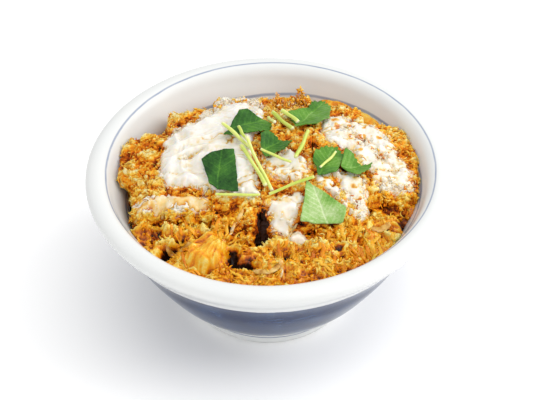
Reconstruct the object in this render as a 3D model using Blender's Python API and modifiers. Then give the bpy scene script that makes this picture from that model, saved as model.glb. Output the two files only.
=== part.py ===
"""Katsudon in its donburi bowl.

A footed porcelain bowl filled with an egg bed. A sliced pork cutlet rests on the
bed, soft egg white lies over the slices, and mitsuba leaves and stems top it off.
Frame: metres, +Z up, origin at the centre of the foot's underside. The front of
the bowl faces -Y.
"""
import math

import bmesh
import bpy
import numpy as np
from mathutils import Vector, noise
from mathutils.bvhtree import BVHTree

MM = 0.001

# Bowl, in millimetres: half profiles as radius and height
RIM_RADIUS = 82.5
RIM_HEIGHT = 74.6
FOOT_RADIUS = 36.4
FOOT_WIDTH = 3.2
FOOT_HOLLOW = 5.0
TURN_STEPS = 56
OUTER_PROFILE = [
    (79.8, RIM_HEIGHT), (81.9, 73.9), (RIM_RADIUS, 72.2), (81.2, 69.6), (78.2, 66.3),
    (74.4, 60.0), (68.7, 50.0), (63.6, 40.0), (57.6, 30.0), (51.6, 21.0), (45.6, 14.0),
    (39.8, 8.4), (37.8, 5.4), (37.2, 2.6), (FOOT_RADIUS, 0.0),
]
INNER_PROFILE = [
    (0.0, 10.5), (30.0, 11.5), (39.0, 15.0), (44.8, 21.0), (50.6, 30.0), (56.6, 40.0),
    (61.6, 50.0), (65.3, 60.0), (68.6, 65.4), (71.6, 69.4), (74.0, 72.0), (77.2, 73.9),
]

# Egg bed, in millimetres
BED_LEVEL = 58.5
BED_GAP = 0.35
BED_EDGE_GAP = 1.1
BED_SHOULDER = 57.0
BED_SWELL = 3.6
BED_SWELL_SCALE = 0.13
BED_MARGIN = 4.0
BED_RINGS = [10.0, 20.0, 30.0, 37.0, 42.0, 46.0, 50.0, 54.0, 57.5, 61.0]
# Folded curds of egg in front: centre x, y, half length, half width, height, turn
CURDS = [
    (-28.0, -41.0, 11.5, 8.0, 5.6, 100.0),
    (-46.0, -34.0, 10.0, 5.5, 4.6, 145.0),
    (-12.0, -51.0, 8.0, 5.0, 2.6, 20.0),
    (2.0, -50.0, 8.0, 7.0, 3.6, 90.0),
    (20.0, -48.0, 10.0, 6.0, 3.6, 10.0),
    (36.0, -45.0, 8.0, 6.0, 3.4, 30.0),
    (50.0, -35.0, 9.0, 5.5, 4.0, 45.0),
    (58.0, -27.0, 6.0, 4.0, 2.8, 65.0),
]

# Cutlet, in millimetres: each slice's left and right cut, front end at the top and
# at the bottom, and back end
CUT_GAP = 0.5
CRUST_CRAG = 0.9
CRAG_SCALE = 0.16
CRUST_TOP_FROM = 0.2
CRUST_END_FROM = 0.8
SLICE_BOTTOM = 58.9
SLICE_SQUARENESS = 5.0
WALL_CLEARANCE = 0.9
DOME_TOP = 78.4
DOME_CENTRE_Y = 8.0
DOME_HALF = (67.0, 45.0)
DOME_DROP = (8.6, 7.2)
DOME_POWER = (2.2, 2.4)
SLICES = [
    (-69.0, -46.0, -23.0, -29.0, 31.0),
    (-46.0, -25.0, -23.5, -31.0, 47.0),
    (-25.0, -3.0, -27.0, -43.0, 59.0),
    (-3.0, 20.5, -31.0, -40.0, 61.0),
    (20.5, 44.0, -34.5, -42.0, 52.0),
    (44.0, 69.5, -14.0, -25.0, 37.0),
]
SLICE_CELLS = (4, 14, 3)

# Draped pieces, in millimetres
DRAPE_GAP = 0.5
DRAPE_REACH = 0.35
BRIDGE_REACH = 1.6
SETTLE_ROUNDS = 8
SETTLE_SHARES = (0.0, 0.2, 0.4, 0.6, 0.8, 1.0)
ABOVE_ALL = 200.0
WHITE_THICKNESS = 1.5
LEAF_THICKNESS = 0.5
ONION_THICKNESS = 1.1
# Egg white patches: outline points x, y and the number of cells each way
EGG_WHITES = [
    ([(-47, 24), (-38, 26), (-31, 29), (-24, 36), (-18, 45), (-9, 45), (-2, 37), (-6, 22),
      (-8, 8), (-6, -8), (-5, -19), (-12, -21), (-28, -17), (-38, -16), (-47, -13), (-49, 4)], 9),
    ([(-3, -3), (1, 5), (10, 7), (17, 4), (18, -5), (13, -10), (6, -8)], 5),
    ([(25, 35), (31, 37), (38, 32), (44, 33), (50, 30), (55, 22), (61, 10), (64, -2), (63, -12),
      (55, -12), (48, -9), (45, 0), (38, 10), (29, 16), (25, 24)], 8),
    ([(21, -7), (29, -4), (38, -3), (43, -8), (43.5, -22), (42, -33), (37, -32), (33, -24),
      (26, -17)], 6),
    ([(3, -21), (9, -20), (15, -12), (16.5, -17), (13, -26), (9, -34), (2.5, -33)], 4),
    ([(9, -33.4), (13, -33), (17, -33.4), (16.5, -35.4), (10, -35.4)], 3),
    ([(-60, -18), (-54, -14.5), (-46, -16), (-36, -17.5), (-28, -18), (-27.5, -22.8),
      (-42, -22.6), (-58, -22)], 5),
]
WHITE_SWELL = 0.4
WHITE_SWELL_SCALE = 0.2
# Onion: arc centre x, y, arc radius, first and last angle, strip width
ONIONS = [
    (46.0, -23.0, 9.0, 265.0, 330.0, 3.4),
    (-1.0, -50.0, 6.0, 200.0, 340.0, 2.8),
    (-38.0, -31.0, 10.0, 225.0, 295.0, 3.0),
]
ONION_CELLS = 8
# Mitsuba leaves: outline, turn of the fold in degrees, depth of the fold, curl of the edge
LEAVES = [
    ([(-30, 1), (-24, 4), (-15, 5), (-13, -19), (-22, -18), (-26, -14)], 85, 0.8, 1.2),
    ([(-20, 15), (-17, 21), (-13, 33), (-9, 35), (-4, 30), (2, 26), (1, 20), (-4, 19)], 30, 1.6, 1.4),
    ([(10, 33), (17, 42), (21, 46), (25, 47), (29, 41), (28, 29), (22, 24), (13, 23)], 62, 2.4, 1.6),
    ([(-3, 16), (0, 18.5), (3, 17.5), (6, 14), (11, 13), (8, 6), (3, 3), (-1, 2), (-3, 8)], 40, 1.4, 1.0),
    ([(21, 4), (25, 9), (30, 10), (33, 4), (31, -6), (23, -9), (22, -2)], 70, 1.2, 1.2),
    ([(34.5, -1), (37, 5), (41, 1), (47, 0), (38, -9)], 20, 1.6, 1.0),
    ([(16, -12), (21, -15), (27, -19), (34, -25), (34, -30), (32, -38), (23, -37), (12.5, -37),
      (14, -29), (15, -21)], 110, 1.0, 1.2),
]
LEAF_CELLS = 6
LEAF_WAVE = 0.3
LEAF_WAVE_TURNS = (0.7, 0.5)
# Mitsuba stems: both ends x, y and the radius
STEMS = [
    ((2.5, 35.5), (11.5, 22.5), 0.65),
    ((6.5, 33.0), (14.0, 25.5), 0.6),
    ((0.5, 32.5), (3.5, 23.0), 0.55),
    ((18.5, 20.0), (12.5, -1.5), 0.7),
    ((-3.0, 2.5), (10.5, -3.0), 0.65),
    ((-20.5, 20.5), (-8.0, 6.5), 0.7),
    ((-13.0, 20.0), (-8.8, 8.5), 0.6),
    ((-12.0, 7.0), (0.0, -19.5), 0.7),
    ((-9.5, 9.0), (3.0, -20.5), 0.65),
    ((0.5, -21.5), (20.5, -13.5), 0.6),
    ((-23.5, -17.5), (-2.0, -20.0), 0.55),
]
STEM_POINTS = 5
STEM_BOW = 0.4
STEM_SAMPLES = 33

SOLIDS = bpy.data.collections.new("katsudon")


def clear_scene():
    """Empty the file of every object."""
    for old in list(bpy.data.objects):
        bpy.data.objects.remove(old, do_unlink=True)


def principled(name, colour, roughness):
    """Make one opaque material."""
    material = bpy.data.materials.new(name)
    material.use_nodes = True
    shader = material.node_tree.nodes["Principled BSDF"]
    shader.inputs["Base Color"].default_value = (*colour, 1.0)
    shader.inputs["Roughness"].default_value = roughness
    shader.inputs["Metallic"].default_value = 0.0
    return material


def add_object(name, data, material, parent):
    """Link an object, with its material, under the dish's empty."""
    obj = bpy.data.objects.new(name, data)
    data.materials.append(material)
    SOLIDS.objects.link(obj)
    obj.parent = parent
    return obj


def mesh_from(bm, name, centre=(0.0, 0.0, 0.0)):
    """Write a bmesh in millimetres to a mesh in metres around its own centre."""
    for vertex in bm.verts:
        vertex.co = (vertex.co - Vector(centre)) * MM
    mesh = bpy.data.meshes.new(name)
    bm.to_mesh(mesh)
    bm.free()
    return mesh


def turned(name, profile, material, parent):
    """Turn a half profile round the Z axis."""
    bm = bmesh.new()
    points = [bm.verts.new((radius, 0.0, height)) for radius, height in profile]
    for first, second in zip(points, points[1:]):
        bm.edges.new((first, second))
    obj = add_object(name, mesh_from(bm, name), material, parent)
    screw = obj.modifiers.new("turn", "SCREW")
    screw.axis = "Z"
    screw.steps = TURN_STEPS
    screw.render_steps = TURN_STEPS
    screw.use_merge_vertices = True
    screw.merge_threshold = 0.00001
    return obj


def solid_mesh(obj):
    """Give the mesh that the modifiers make, in world space and metres."""
    bpy.context.view_layer.update()
    graph = bpy.context.evaluated_depsgraph_get()
    mesh = bpy.data.meshes.new_from_object(obj.evaluated_get(graph))
    mesh.transform(obj.matrix_world)
    return mesh


def tree_of(obj):
    """Give a search tree of an object's solid, in millimetres."""
    mesh = solid_mesh(obj)
    mesh.calc_loop_triangles()
    points = [tuple(vertex.co / MM) for vertex in mesh.vertices]
    faces = [tuple(triangle.vertices) for triangle in mesh.loop_triangles]
    bpy.data.meshes.remove(mesh)
    return BVHTree.FromPolygons(points, faces)


def along(profile, height):
    """Give a profile's radius at a height."""
    heights = [point[1] for point in profile]
    radii = [point[0] for point in profile]
    return float(np.interp(height, heights, radii))


def build_bowl(material, parent):
    """Turn the footed bowl with its rolled lip."""
    foot_inside = FOOT_RADIUS - FOOT_WIDTH
    underside = [(foot_inside, 0.0), (foot_inside - 0.8, FOOT_HOLLOW), (0.0, FOOT_HOLLOW + 0.8)]
    return turned("bowl", INNER_PROFILE + OUTER_PROFILE + underside, material, parent)


def in_footprint(x, y, margin):
    """Tell whether a point lies under a cutlet slice, or within a margin of one."""
    for left, right, front_top, front_bottom, back in SLICES:
        front = min(front_top, front_bottom)
        if left - margin < x < right + margin and front - margin < y < back + margin:
            return True
    return False


def bed_height(x, y):
    """Give the height of the egg bed: flat below the slices, folded round them."""
    if in_footprint(x, y, BED_MARGIN):
        return BED_LEVEL
    height = BED_LEVEL + BED_SWELL * (0.5 + noise.noise(Vector((x, y, 3.0)) * BED_SWELL_SCALE))
    for centre_x, centre_y, length, width, rise, turn in CURDS:
        angle = math.radians(turn)
        across, up = x - centre_x, y - centre_y
        first = (across * math.cos(angle) + up * math.sin(angle)) / length
        second = (up * math.cos(angle) - across * math.sin(angle)) / width
        height += rise * math.exp(-(first * first + second * second))
    return height


def build_bed(material, parent):
    """Fill the bowl with the egg bed, up to the level shown."""
    side = [(max(radius - BED_GAP, 0.0), height + BED_GAP)
            for radius, height in INNER_PROFILE if height < BED_SHOULDER]
    side.append((along(INNER_PROFILE, BED_SHOULDER) - BED_GAP, BED_SHOULDER))
    edge = along(INNER_PROFILE, BED_LEVEL) - BED_EDGE_GAP
    top = [(radius, BED_LEVEL) for radius in [0.0, *BED_RINGS, edge]]
    profile = top + side[::-1]
    obj = turned("egg_bed", profile, material, parent)
    mesh = solid_mesh(obj)
    obj.modifiers.clear()
    obj.data = mesh
    for vertex in mesh.vertices:
        x, y, z = vertex.co / MM
        if abs(z - BED_LEVEL) > 0.01:
            continue
        height = bed_height(x, y)
        radius = math.hypot(x, y)
        widen = 1.0
        if radius > edge - 0.1:
            widen = (along(INNER_PROFILE, height) - BED_EDGE_GAP) / radius
        vertex.co = (x * widen * MM, y * widen * MM, height * MM)
    return obj


def dome(x, y):
    """Give the height of the cutlet's top."""
    side = abs(x) / DOME_HALF[0]
    reach = abs(y - DOME_CENTRE_Y) / DOME_HALF[1]
    drop = DOME_DROP[0] * side ** DOME_POWER[0] + DOME_DROP[1] * reach ** DOME_POWER[1]
    return DOME_TOP - drop


def crag(point, seed):
    """Give the crust's lumps at a point, as a signed height."""
    spot = Vector(point) * CRAG_SCALE + Vector((seed, 0.0, 0.0))
    return CRUST_CRAG * (noise.noise(spot) + 0.6 * noise.noise(spot * 2.3))


def build_slice(index, sizes, material, parent):
    """Shape one cutlet slice: cut faces flat, crust on top and at its ends craggy."""
    left, right, front_top, front_bottom, back = sizes
    outer_side = -1 if index == 0 else 1 if index == len(SLICES) - 1 else 0
    bm = bmesh.new()
    bmesh.ops.create_cube(bm, size=2.0)
    for axis, cells in enumerate(SLICE_CELLS):
        for step in range(1, cells):
            spot = [0.0, 0.0, 0.0]
            normal = [0.0, 0.0, 0.0]
            spot[axis] = -1.0 + 2.0 * step / cells
            normal[axis] = 1.0
            geometry = bm.verts[:] + bm.edges[:] + bm.faces[:]
            bmesh.ops.bisect_plane(bm, geom=geometry, plane_co=spot, plane_no=normal)
    for vertex in bm.verts:
        vertex.co = slice_point(vertex.co, outer_side, sizes, index)
    centre = ((left + right) / 2.0, (front_top + back) / 2.0, SLICE_BOTTOM)
    obj = add_object(f"cutlet_slice_{index + 1}", mesh_from(bm, "cutlet_slice", centre),
                     material, parent)
    obj.location = Vector(centre) * MM
    return obj


def slice_point(cube_point, outer_side, sizes, index):
    """Carry a point of the unit cube to the rounded, domed slice."""
    left, right, front_top, front_bottom, back = sizes
    u, v, w = cube_point
    outward = max(0.0, u * outer_side)
    power = SLICE_SQUARENESS
    size = (outward ** power + abs(v) ** power + abs(w) ** power) ** (1.0 / power)
    largest = max(outward, abs(v), abs(w))
    shrink = largest / size if size > 0.0 else 1.0
    v, w = v * shrink, w * shrink
    if outward > 0.0:
        u *= shrink
    x = left + CUT_GAP + (right - left - 2.0 * CUT_GAP) * (u + 1.0) / 2.0
    rise = (w + 1.0) / 2.0
    front = front_bottom + (front_top - front_bottom) * rise
    y = front + (back - front) * (v + 1.0) / 2.0
    z = SLICE_BOTTOM + (dome(x, y) - SLICE_BOTTOM) * rise
    if w > CRUST_TOP_FROM:
        z += crag((x, y, 0.0), index * 5.0)
    if abs(v) > CRUST_END_FROM:
        y += crag((x, 0.0, z), index * 5.0 + 2.0)
    limit = along(INNER_PROFILE, z) - WALL_CLEARANCE
    radius = math.hypot(x, y)
    if radius > limit:
        x, y = x * limit / radius, y * limit / radius
    return Vector((x, y, z))


def height_below(x, y, trees, reach=DRAPE_REACH):
    """Give the height of the highest solid near a point."""
    highest = 0.0
    for shift_x, shift_y in ((0, 0), (1, 0), (-1, 0), (0, 1), (0, -1)):
        start = Vector((x + shift_x * reach, y + shift_y * reach, ABOVE_ALL))
        for tree in trees:
            hit = tree.ray_cast(start, Vector((0.0, 0.0, -1.0)))[0]
            if hit is not None:
                highest = max(highest, hit.z)
    return highest


def smooth_heights(bm):
    """Replace a sheet's heights by the quadratic surface that fits them best."""
    spots = np.array([vertex.co for vertex in bm.verts])
    x, y = spots[:, 0] - spots[:, 0].mean(), spots[:, 1] - spots[:, 1].mean()
    terms = np.stack([np.ones_like(x), x, y, x * x, x * y, y * y], axis=1)
    factors = np.linalg.lstsq(terms, spots[:, 2], rcond=None)[0]
    for vertex, height in zip(bm.verts, terms @ factors):
        vertex.co.z = float(height)


def drape(bm, trees, lift, stiff=False):
    """Lay a sheet on what is below it, with a clear gap. A stiff one bends smoothly."""
    for vertex in bm.verts:
        x, y = vertex.co.x, vertex.co.y
        vertex.co.z = height_below(x, y, trees, BRIDGE_REACH) + DRAPE_GAP
    if stiff:
        smooth_heights(bm)
    for vertex in bm.verts:
        vertex.co.z += lift(vertex.co.x, vertex.co.y)
    weights = [(a, b, 1.0 - a - b) for a in SETTLE_SHARES for b in SETTLE_SHARES if a + b < 1.01]
    for turn in range(SETTLE_ROUNDS):
        last = turn == SETTLE_ROUNDS - 1
        needs = {}
        for face in bm.faces:
            corners = [vertex.co for vertex in face.verts]
            for share in weights:
                spot = sum((corner * part for corner, part in zip(corners, share)), Vector())
                need = height_below(spot.x, spot.y, trees) + DRAPE_GAP - spot.z
                if need > 0.0:
                    norm = sum(part * part for part in share)
                    for vertex, part in zip(face.verts, share):
                        rise = need if last else need * part / norm
                        needs[vertex] = max(needs.get(vertex, 0.0), rise)
        for vertex, need in needs.items():
            vertex.co.z += need


def rim_walk(outline, share):
    """Give the point at a share of the way round a closed outline."""
    corners = [Vector(point) for point in outline]
    ends = corners[1:] + corners[:1]
    lengths = [(end - start).length for start, end in zip(corners, ends)]
    distance = share * sum(lengths)
    for start, end, length in zip(corners, ends, lengths):
        if distance <= length:
            return start.lerp(end, distance / length)
        distance -= length
    return corners[0]


def square_share(u, v):
    """Give how far round the unit square, from 0 to 1, a direction points."""
    size = max(abs(u), abs(v))
    u, v = u / size, v / size
    if v <= -1.0:
        return (u + 1.0) / 8.0
    if u >= 1.0:
        return 0.25 + (v + 1.0) / 8.0
    if v >= 1.0:
        return 0.5 + (1.0 - u) / 8.0
    return 0.75 + (1.0 - v) / 8.0


def outline_centre(outline):
    """Give the mean of an outline's corners."""
    count = len(outline)
    return Vector((sum(p[0] for p in outline) / count, sum(p[1] for p in outline) / count))


def outline_sheet(outline, cells):
    """Make a triangle grid that fills an outline, ring by ring from its middle."""
    bm = bmesh.new()
    bmesh.ops.create_grid(bm, x_segments=cells, y_segments=cells, size=1.0)
    centre = outline_centre(outline)
    turning = sum(a[0] * b[1] - a[1] * b[0] for a, b in zip(outline, outline[1:] + outline[:1]))
    for vertex in bm.verts:
        u, v = vertex.co.x, vertex.co.y
        ring = max(abs(u), abs(v))
        place = centre
        if ring > 0.001:
            share = square_share(u, v)
            share = share if turning > 0.0 else 1.0 - share
            place = centre.lerp(rim_walk(outline, share), ring)
        vertex.co = (place.x, place.y, 0.0)
    bmesh.ops.triangulate(bm, faces=bm.faces[:])
    return bm


def add_sheet(name, bm, thickness, material, parent):
    """Thicken a draped sheet upward into a solid."""
    middle = sum((vertex.co for vertex in bm.verts), Vector()) / len(bm.verts)
    obj = add_object(name, mesh_from(bm, name, middle), material, parent)
    obj.location = middle * MM
    solidify = obj.modifiers.new("thickness", "SOLIDIFY")
    solidify.thickness = thickness * MM
    solidify.offset = 1.0
    return obj


def build_white(index, outline, cells, trees, material, parent):
    """Drape one soft patch of egg white."""
    bm = outline_sheet(outline, cells)

    def lift(x, y):
        return WHITE_SWELL * (0.75 + noise.noise(Vector((x, y, index)) * WHITE_SWELL_SCALE))

    drape(bm, trees, lift)
    return add_sheet(f"egg_white_{index + 1}", bm, WHITE_THICKNESS, material, parent)


def build_onion(index, sizes, trees, material, parent):
    """Drape one curved strip of simmered onion."""
    centre_x, centre_y, radius, first, last, width = sizes
    bm = bmesh.new()
    bmesh.ops.create_grid(bm, x_segments=ONION_CELLS, y_segments=1, size=1.0)
    for vertex in bm.verts:
        share = (vertex.co.x + 1.0) / 2.0
        angle = math.radians(first + (last - first) * share)
        reach = radius - vertex.co.y * width / 2.0
        vertex.co = (centre_x + reach * math.cos(angle), centre_y + reach * math.sin(angle), 0.0)
    bmesh.ops.triangulate(bm, faces=bm.faces[:])
    drape(bm, trees, lambda x, y: 0.0)
    return add_sheet(f"onion_slice_{index + 1}", bm, ONION_THICKNESS, material, parent)


def build_leaf(index, sizes, trees, material, parent):
    """Lay one mitsuba leaf, folded along its midrib and curled at its edge."""
    outline, turn, fold, curl = sizes
    centre = outline_centre(outline)
    reach = max((Vector(point) - centre).length for point in outline)
    direction = math.radians(turn)

    def lift(x, y):
        across, up = x - centre.x, y - centre.y
        off_rib = abs(up * math.cos(direction) - across * math.sin(direction)) / reach
        ring = math.hypot(across, up) / reach
        wave = LEAF_WAVE * math.sin(LEAF_WAVE_TURNS[0] * x + LEAF_WAVE_TURNS[1] * y)
        return fold * off_rib + curl * ring * ring + wave

    bm = outline_sheet(outline, LEAF_CELLS)
    drape(bm, trees, lift, stiff=True)
    return add_sheet(f"mitsuba_leaf_{index + 1}", bm, LEAF_THICKNESS, material, parent)


def build_stem(index, sizes, trees, material, parent):
    """Rest one cut stem, a bevelled curve, on what lies below it."""
    start, end, radius = sizes
    ends = Vector(start), Vector(end)
    across = (ends[1] - ends[0]).orthogonal().normalized()
    bow = STEM_BOW * (1 if index % 2 else -1)
    shares = np.linspace(0.0, 1.0, STEM_SAMPLES)
    needs = []
    for share in shares:
        middle = ends[0].lerp(ends[1], share) + across * bow * math.sin(math.pi * share)
        sides = (middle, middle + across * radius, middle - across * radius)
        needs.append(max(height_below(side.x, side.y, trees) for side in sides))
    first, second = resting_line(shares, np.array(needs) + radius + DRAPE_GAP)
    curve = bpy.data.curves.new(f"mitsuba_stem_{index + 1}", "CURVE")
    curve.dimensions = "3D"
    curve.bevel_depth = radius * MM
    curve.bevel_resolution = 1
    curve.use_fill_caps = True
    spline = curve.splines.new("POLY")
    spline.points.add(STEM_POINTS - 1)
    centre = ends[0].lerp(ends[1], 0.5).to_3d()
    centre.z = (first + second) / 2.0
    for place, point in enumerate(spline.points):
        share = place / (STEM_POINTS - 1)
        spot = ends[0].lerp(ends[1], share) + across * bow * math.sin(math.pi * share)
        height = first + (second - first) * share
        point.co = (*((Vector((spot.x, spot.y, height)) - centre) * MM), 1.0)
    obj = add_object(f"mitsuba_stem_{index + 1}", curve, material, parent)
    obj.location = centre * MM
    return obj


def resting_line(shares, needs):
    """Give both ends' heights of a straight rod that rests on the given heights."""
    best = None
    for i, first in enumerate(shares):
        for j in range(i + 1, len(shares)):
            slope = (needs[j] - needs[i]) / (shares[j] - first)
            start = needs[i] - slope * first
            if np.all(start + slope * shares >= needs - 0.001):
                middle = start + slope * 0.5
                if best is None or middle < best[0]:
                    best = (middle, start, start + slope)
    return best[1], best[2]


def main():
    """Build the dish from the bowl up, each layer resting on those below."""
    clear_scene()
    bpy.context.scene.collection.children.link(SOLIDS)
    dish = bpy.data.objects.new("katsudon_dish", None)
    SOLIDS.objects.link(dish)

    porcelain = principled("glazed_porcelain", (0.86, 0.87, 0.85), 0.18)
    egg = principled("simmered_egg", (0.80, 0.42, 0.05), 0.45)
    crust = principled("fried_crust", (0.62, 0.27, 0.05), 0.6)
    white = principled("egg_white", (0.88, 0.78, 0.72), 0.3)
    onion = principled("simmered_onion", (0.72, 0.50, 0.22), 0.35)
    leaf = principled("mitsuba_leaf", (0.07, 0.26, 0.06), 0.5)
    stem = principled("mitsuba_stem", (0.52, 0.66, 0.22), 0.45)

    build_bowl(porcelain, dish)
    bed = build_bed(egg, dish)
    trees = [tree_of(bed)]
    for index, sizes in enumerate(SLICES):
        trees.append(tree_of(build_slice(index, sizes, crust, dish)))
    for index, (outline, cells) in enumerate(EGG_WHITES):
        trees.append(tree_of(build_white(index, outline, cells, trees, white, dish)))
    for index, sizes in enumerate(ONIONS):
        trees.append(tree_of(build_onion(index, sizes, trees, onion, dish)))
    for index, sizes in enumerate(LEAVES):
        trees.append(tree_of(build_leaf(index, sizes, trees, leaf, dish)))
    for index, sizes in enumerate(STEMS):
        trees.append(tree_of(build_stem(index, sizes, trees, stem, dish)))


main()
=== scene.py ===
"""Katsudon in its donburi bowl: the looks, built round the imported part.

Lengths are in millimetres until a mesh is written; meshes are in metres.
"""

import math
from functools import partial

import bpy
import numpy as np
from mathutils import Matrix, Vector
from mathutils.bvhtree import BVHTree


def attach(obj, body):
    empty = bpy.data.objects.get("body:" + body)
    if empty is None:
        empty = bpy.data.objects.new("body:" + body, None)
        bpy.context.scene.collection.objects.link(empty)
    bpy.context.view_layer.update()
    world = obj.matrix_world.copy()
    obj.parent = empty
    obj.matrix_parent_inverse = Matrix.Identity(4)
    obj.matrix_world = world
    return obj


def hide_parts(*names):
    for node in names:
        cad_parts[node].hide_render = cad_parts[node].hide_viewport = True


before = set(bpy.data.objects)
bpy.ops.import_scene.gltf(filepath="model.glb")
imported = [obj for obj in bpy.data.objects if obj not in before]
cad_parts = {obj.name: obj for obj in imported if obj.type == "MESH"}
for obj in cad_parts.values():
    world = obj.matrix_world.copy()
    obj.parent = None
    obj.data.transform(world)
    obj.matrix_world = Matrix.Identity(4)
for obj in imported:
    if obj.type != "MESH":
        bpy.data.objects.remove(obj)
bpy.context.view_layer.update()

MM = 0.001

# Bowl: points round it, rounds that soften its outline, the outline's step and the rim's height
BOWL_TURNS = 192
PROFILE_SOFTEN = 3
PROFILE_STEP = 1.05
RIM_HEIGHT = 74.6
# Its radius and height, outside from the lip down, under the foot, and inside up to the lip, which
# is fuller than the part's
OUTER_PROFILE = [
    (79.8, 74.8), (81.9, 73.9), (82.5, 72.2), (81.4, 69.2), (78.8, 65.2),
    (74.8, 59.8), (68.7, 50.0), (63.6, 40.0), (57.6, 30.0), (51.6, 21.0), (45.6, 14.0),
    (39.8, 8.4),
]
FOOT_PROFILE = [
    (37.8, 5.4), (37.2, 2.6), (36.7, 0.4), (36.2, 0.0), (33.8, 0.0), (33.2, 0.4), (32.4, 5.0),
    (0.0, 5.8),
]
INNER_PROFILE = [
    (0.0, 10.5), (30.0, 11.5), (39.0, 15.0), (44.8, 21.0), (50.6, 30.0), (56.6, 40.0),
    (61.6, 50.0), (65.3, 60.0), (68.6, 65.4), (71.0, 69.4), (72.2, 72.2), (74.6, 74.5), (77.2, 75.1),
]
# Heights of the painted band and the line on the foot
BAND_TOP = 56.0
BAND_BOTTOM = 8.6
FOOT_LINE = 5.3
# How strongly the band's brush streaks run round the bowl
STREAK_LENGTH = 0.012
# Painted lines inside: centre x, y, radius and half width
LIP_LINE = (1.3, 1.9, 74.4, 0.34)
WALL_LINE = (2.4, 0.0, 67.0, 0.34)

# Grid seen from above, over which the soft layers are shaped
FIELD_STEP = 0.5
FIELD_HALF = 72.0
FIELD_COUNT = int(2.0 * FIELD_HALF / FIELD_STEP) + 1
LINE = np.linspace(-FIELD_HALF, FIELD_HALF, FIELD_COUNT)
FX, FY = np.meshgrid(LINE, LINE)
FLAT = np.stack([FX.ravel(), FY.ravel(), np.zeros(FX.size)], axis=1)

# Cutlet: its mesh size, how far each cut face closes up, and the sizes of its crust's swells,
# lumps, flakes, crumbs and grains
VOXEL = 0.6
CUT_CLOSE = 0.45
SWELL, LUMP, FLAKE, CRUMB, GRAIN = 7.0, 3.6, 1.9, 1.6, 0.9
# Loose crumbs and curls for each square millimetre, how many lie on the bed, and their sizes: the
# smallest, and how much larger the largest is
CRUMBS_PER_AREA = 0.46
CURLS_PER_AREA = 0.22
BED_CRUMBS = 1500
BED_CURLS = 1300
CRUMB_SIZE = (0.36, 0.72)
BED_CRUMB_SIZE = (0.4, 0.8)
# Egg bed: its underside, its level under the slices, the radius that its solid reaches, how far it
# climbs up the slices, and the radius inside which all food lies
BED_FLOOR = 54.0
BED_LEVEL = 58.5
BED_RADIUS = 63.5
BED_CLIMB = 4.6
FOOD_RADIUS = 71.0
# Height from which things are looked at from above
LOOKOUT = 200.0
# Painted shade darkens the inside of the open cut
# The open cut in front: its x, where it starts, how far each side draws back, how far off that is
# felt, and the heights between which it opens
CUT_X, CUT_FRONT, CUT_WIDTH = -2.6, -27.0, 0.45
CUT_REACH = 5.0
CUT_HEIGHTS = (79.0, 74.0)
# Gap between the food and the bowl at the left: its middle, half length and width
WALL_GAP = (-11.0, 11.0, 6.5)
# Slices seen from above: left, right, front and back
SLICE_BOXES = [
    (-69.0, -46.0, -29.0, 31.0), (-46.0, -25.0, -31.0, 47.0), (-25.0, -3.0, -43.0, 59.0),
    (-3.0, 20.5, -40.0, 61.0), (20.5, 44.0, -42.0, 52.0), (44.0, 69.5, -25.0, 37.0),
]
# Hollows in the egg, darkened with painted shade: centre x, y, half length, half width, depth, turn
PITS = [
    (-44.2, -41.0, 4.2, 2.8, 7.0, 20.0), (-26.7, -52.4, 3.8, 1.8, 4.5, 0.0),
    (-15.6, -47.0, 2.2, 3.6, 6.0, 0.0), (-10.5, -51.0, 5.4, 2.6, 7.0, -20.0),
    (7.6, -47.0, 1.2, 1.8, 3.5, 0.0), (23.7, -35.5, 3.0, 2.0, 4.0, 0.0),
    (30.6, -42.6, 3.6, 1.6, 4.0, 10.0), (34.3, -33.5, 1.2, 1.6, 3.0, 0.0),
    (40.0, -39.0, 2.4, 1.4, 3.5, -20.0), (-2.5, -37.5, 1.8, 4.0, 7.0, 0.0),
    (60.0, -24.5, 3.0, 1.8, 4.5, 60.0), (-62.6, -10.5, 4.4, 12.0, 10.0, 8.0),
]
# Browner and paler places of the egg: centre x, y, half lengths and shift of tone
BED_PATCHES = [
    (-51.0, -31.0, 12.0, 8.0, -0.16), (-11.5, -40.0, 6.0, 10.0, -0.3), (2.0, -53.0, 8.0, 5.0, 0.16),
    (17.0, -46.0, 8.0, 8.0, -0.08), (-30.0, -56.0, 14.0, 4.0, -0.1), (38.0, -40.0, 14.0, 7.0, 0.06),
    (54.0, -30.0, 8.0, 5.0, -0.08),
]
# Golden fold of egg
FOLD_OUTLINE = [
    (-28.5, -33.4), (-18.0, -34.6), (-16.4, -41.6), (-19.6, -50.6), (-29.0, -54.4),
    (-38.4, -49.4), (-37.6, -41.6),
]
FOLD_CORNER = (-18.5, -35.5)
# Pale strands of set egg: places they pass and half width
RIBBONS = [
    ([(5.2, -45.5), (4.8, -49.0), (5.6, -53.0), (5.2, -57.5)], 1.2),
    ([(-10.5, -24.2), (-12.6, -27.6), (-15.2, -30.4), (-16.9, -34.4)], 1.1),
]
# Fibres of egg: x from and to, y from and to, how many, and the way they run in degrees; their
# shortest and longest length, thinnest and thickest half width, and how far they stray
STRAND_BEDS = [
    (26.0, 56.0, -41.0, -30.0, 46, -88.0), (4.0, 28.0, -46.0, -34.0, 26, -95.0),
    (-60.0, -36.0, -40.0, -26.0, 22, -60.0), (-16.0, 6.0, -48.0, -38.0, 14, -100.0),
    (-40.0, 40.0, -54.0, -48.0, 12, -10.0), (-24.0, -8.0, -36.0, -24.0, 9, -110.0),
]
STRAND_LENGTH = (5.0, 13.0)
STRAND_HALF_WIDTH = (0.5, 1.25)
STRAND_STRAY = 38.0
# Places along a fibre where it has to be clear of pits
STRAND_CHECKS = np.linspace(0.0, 1.0, 5)

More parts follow.
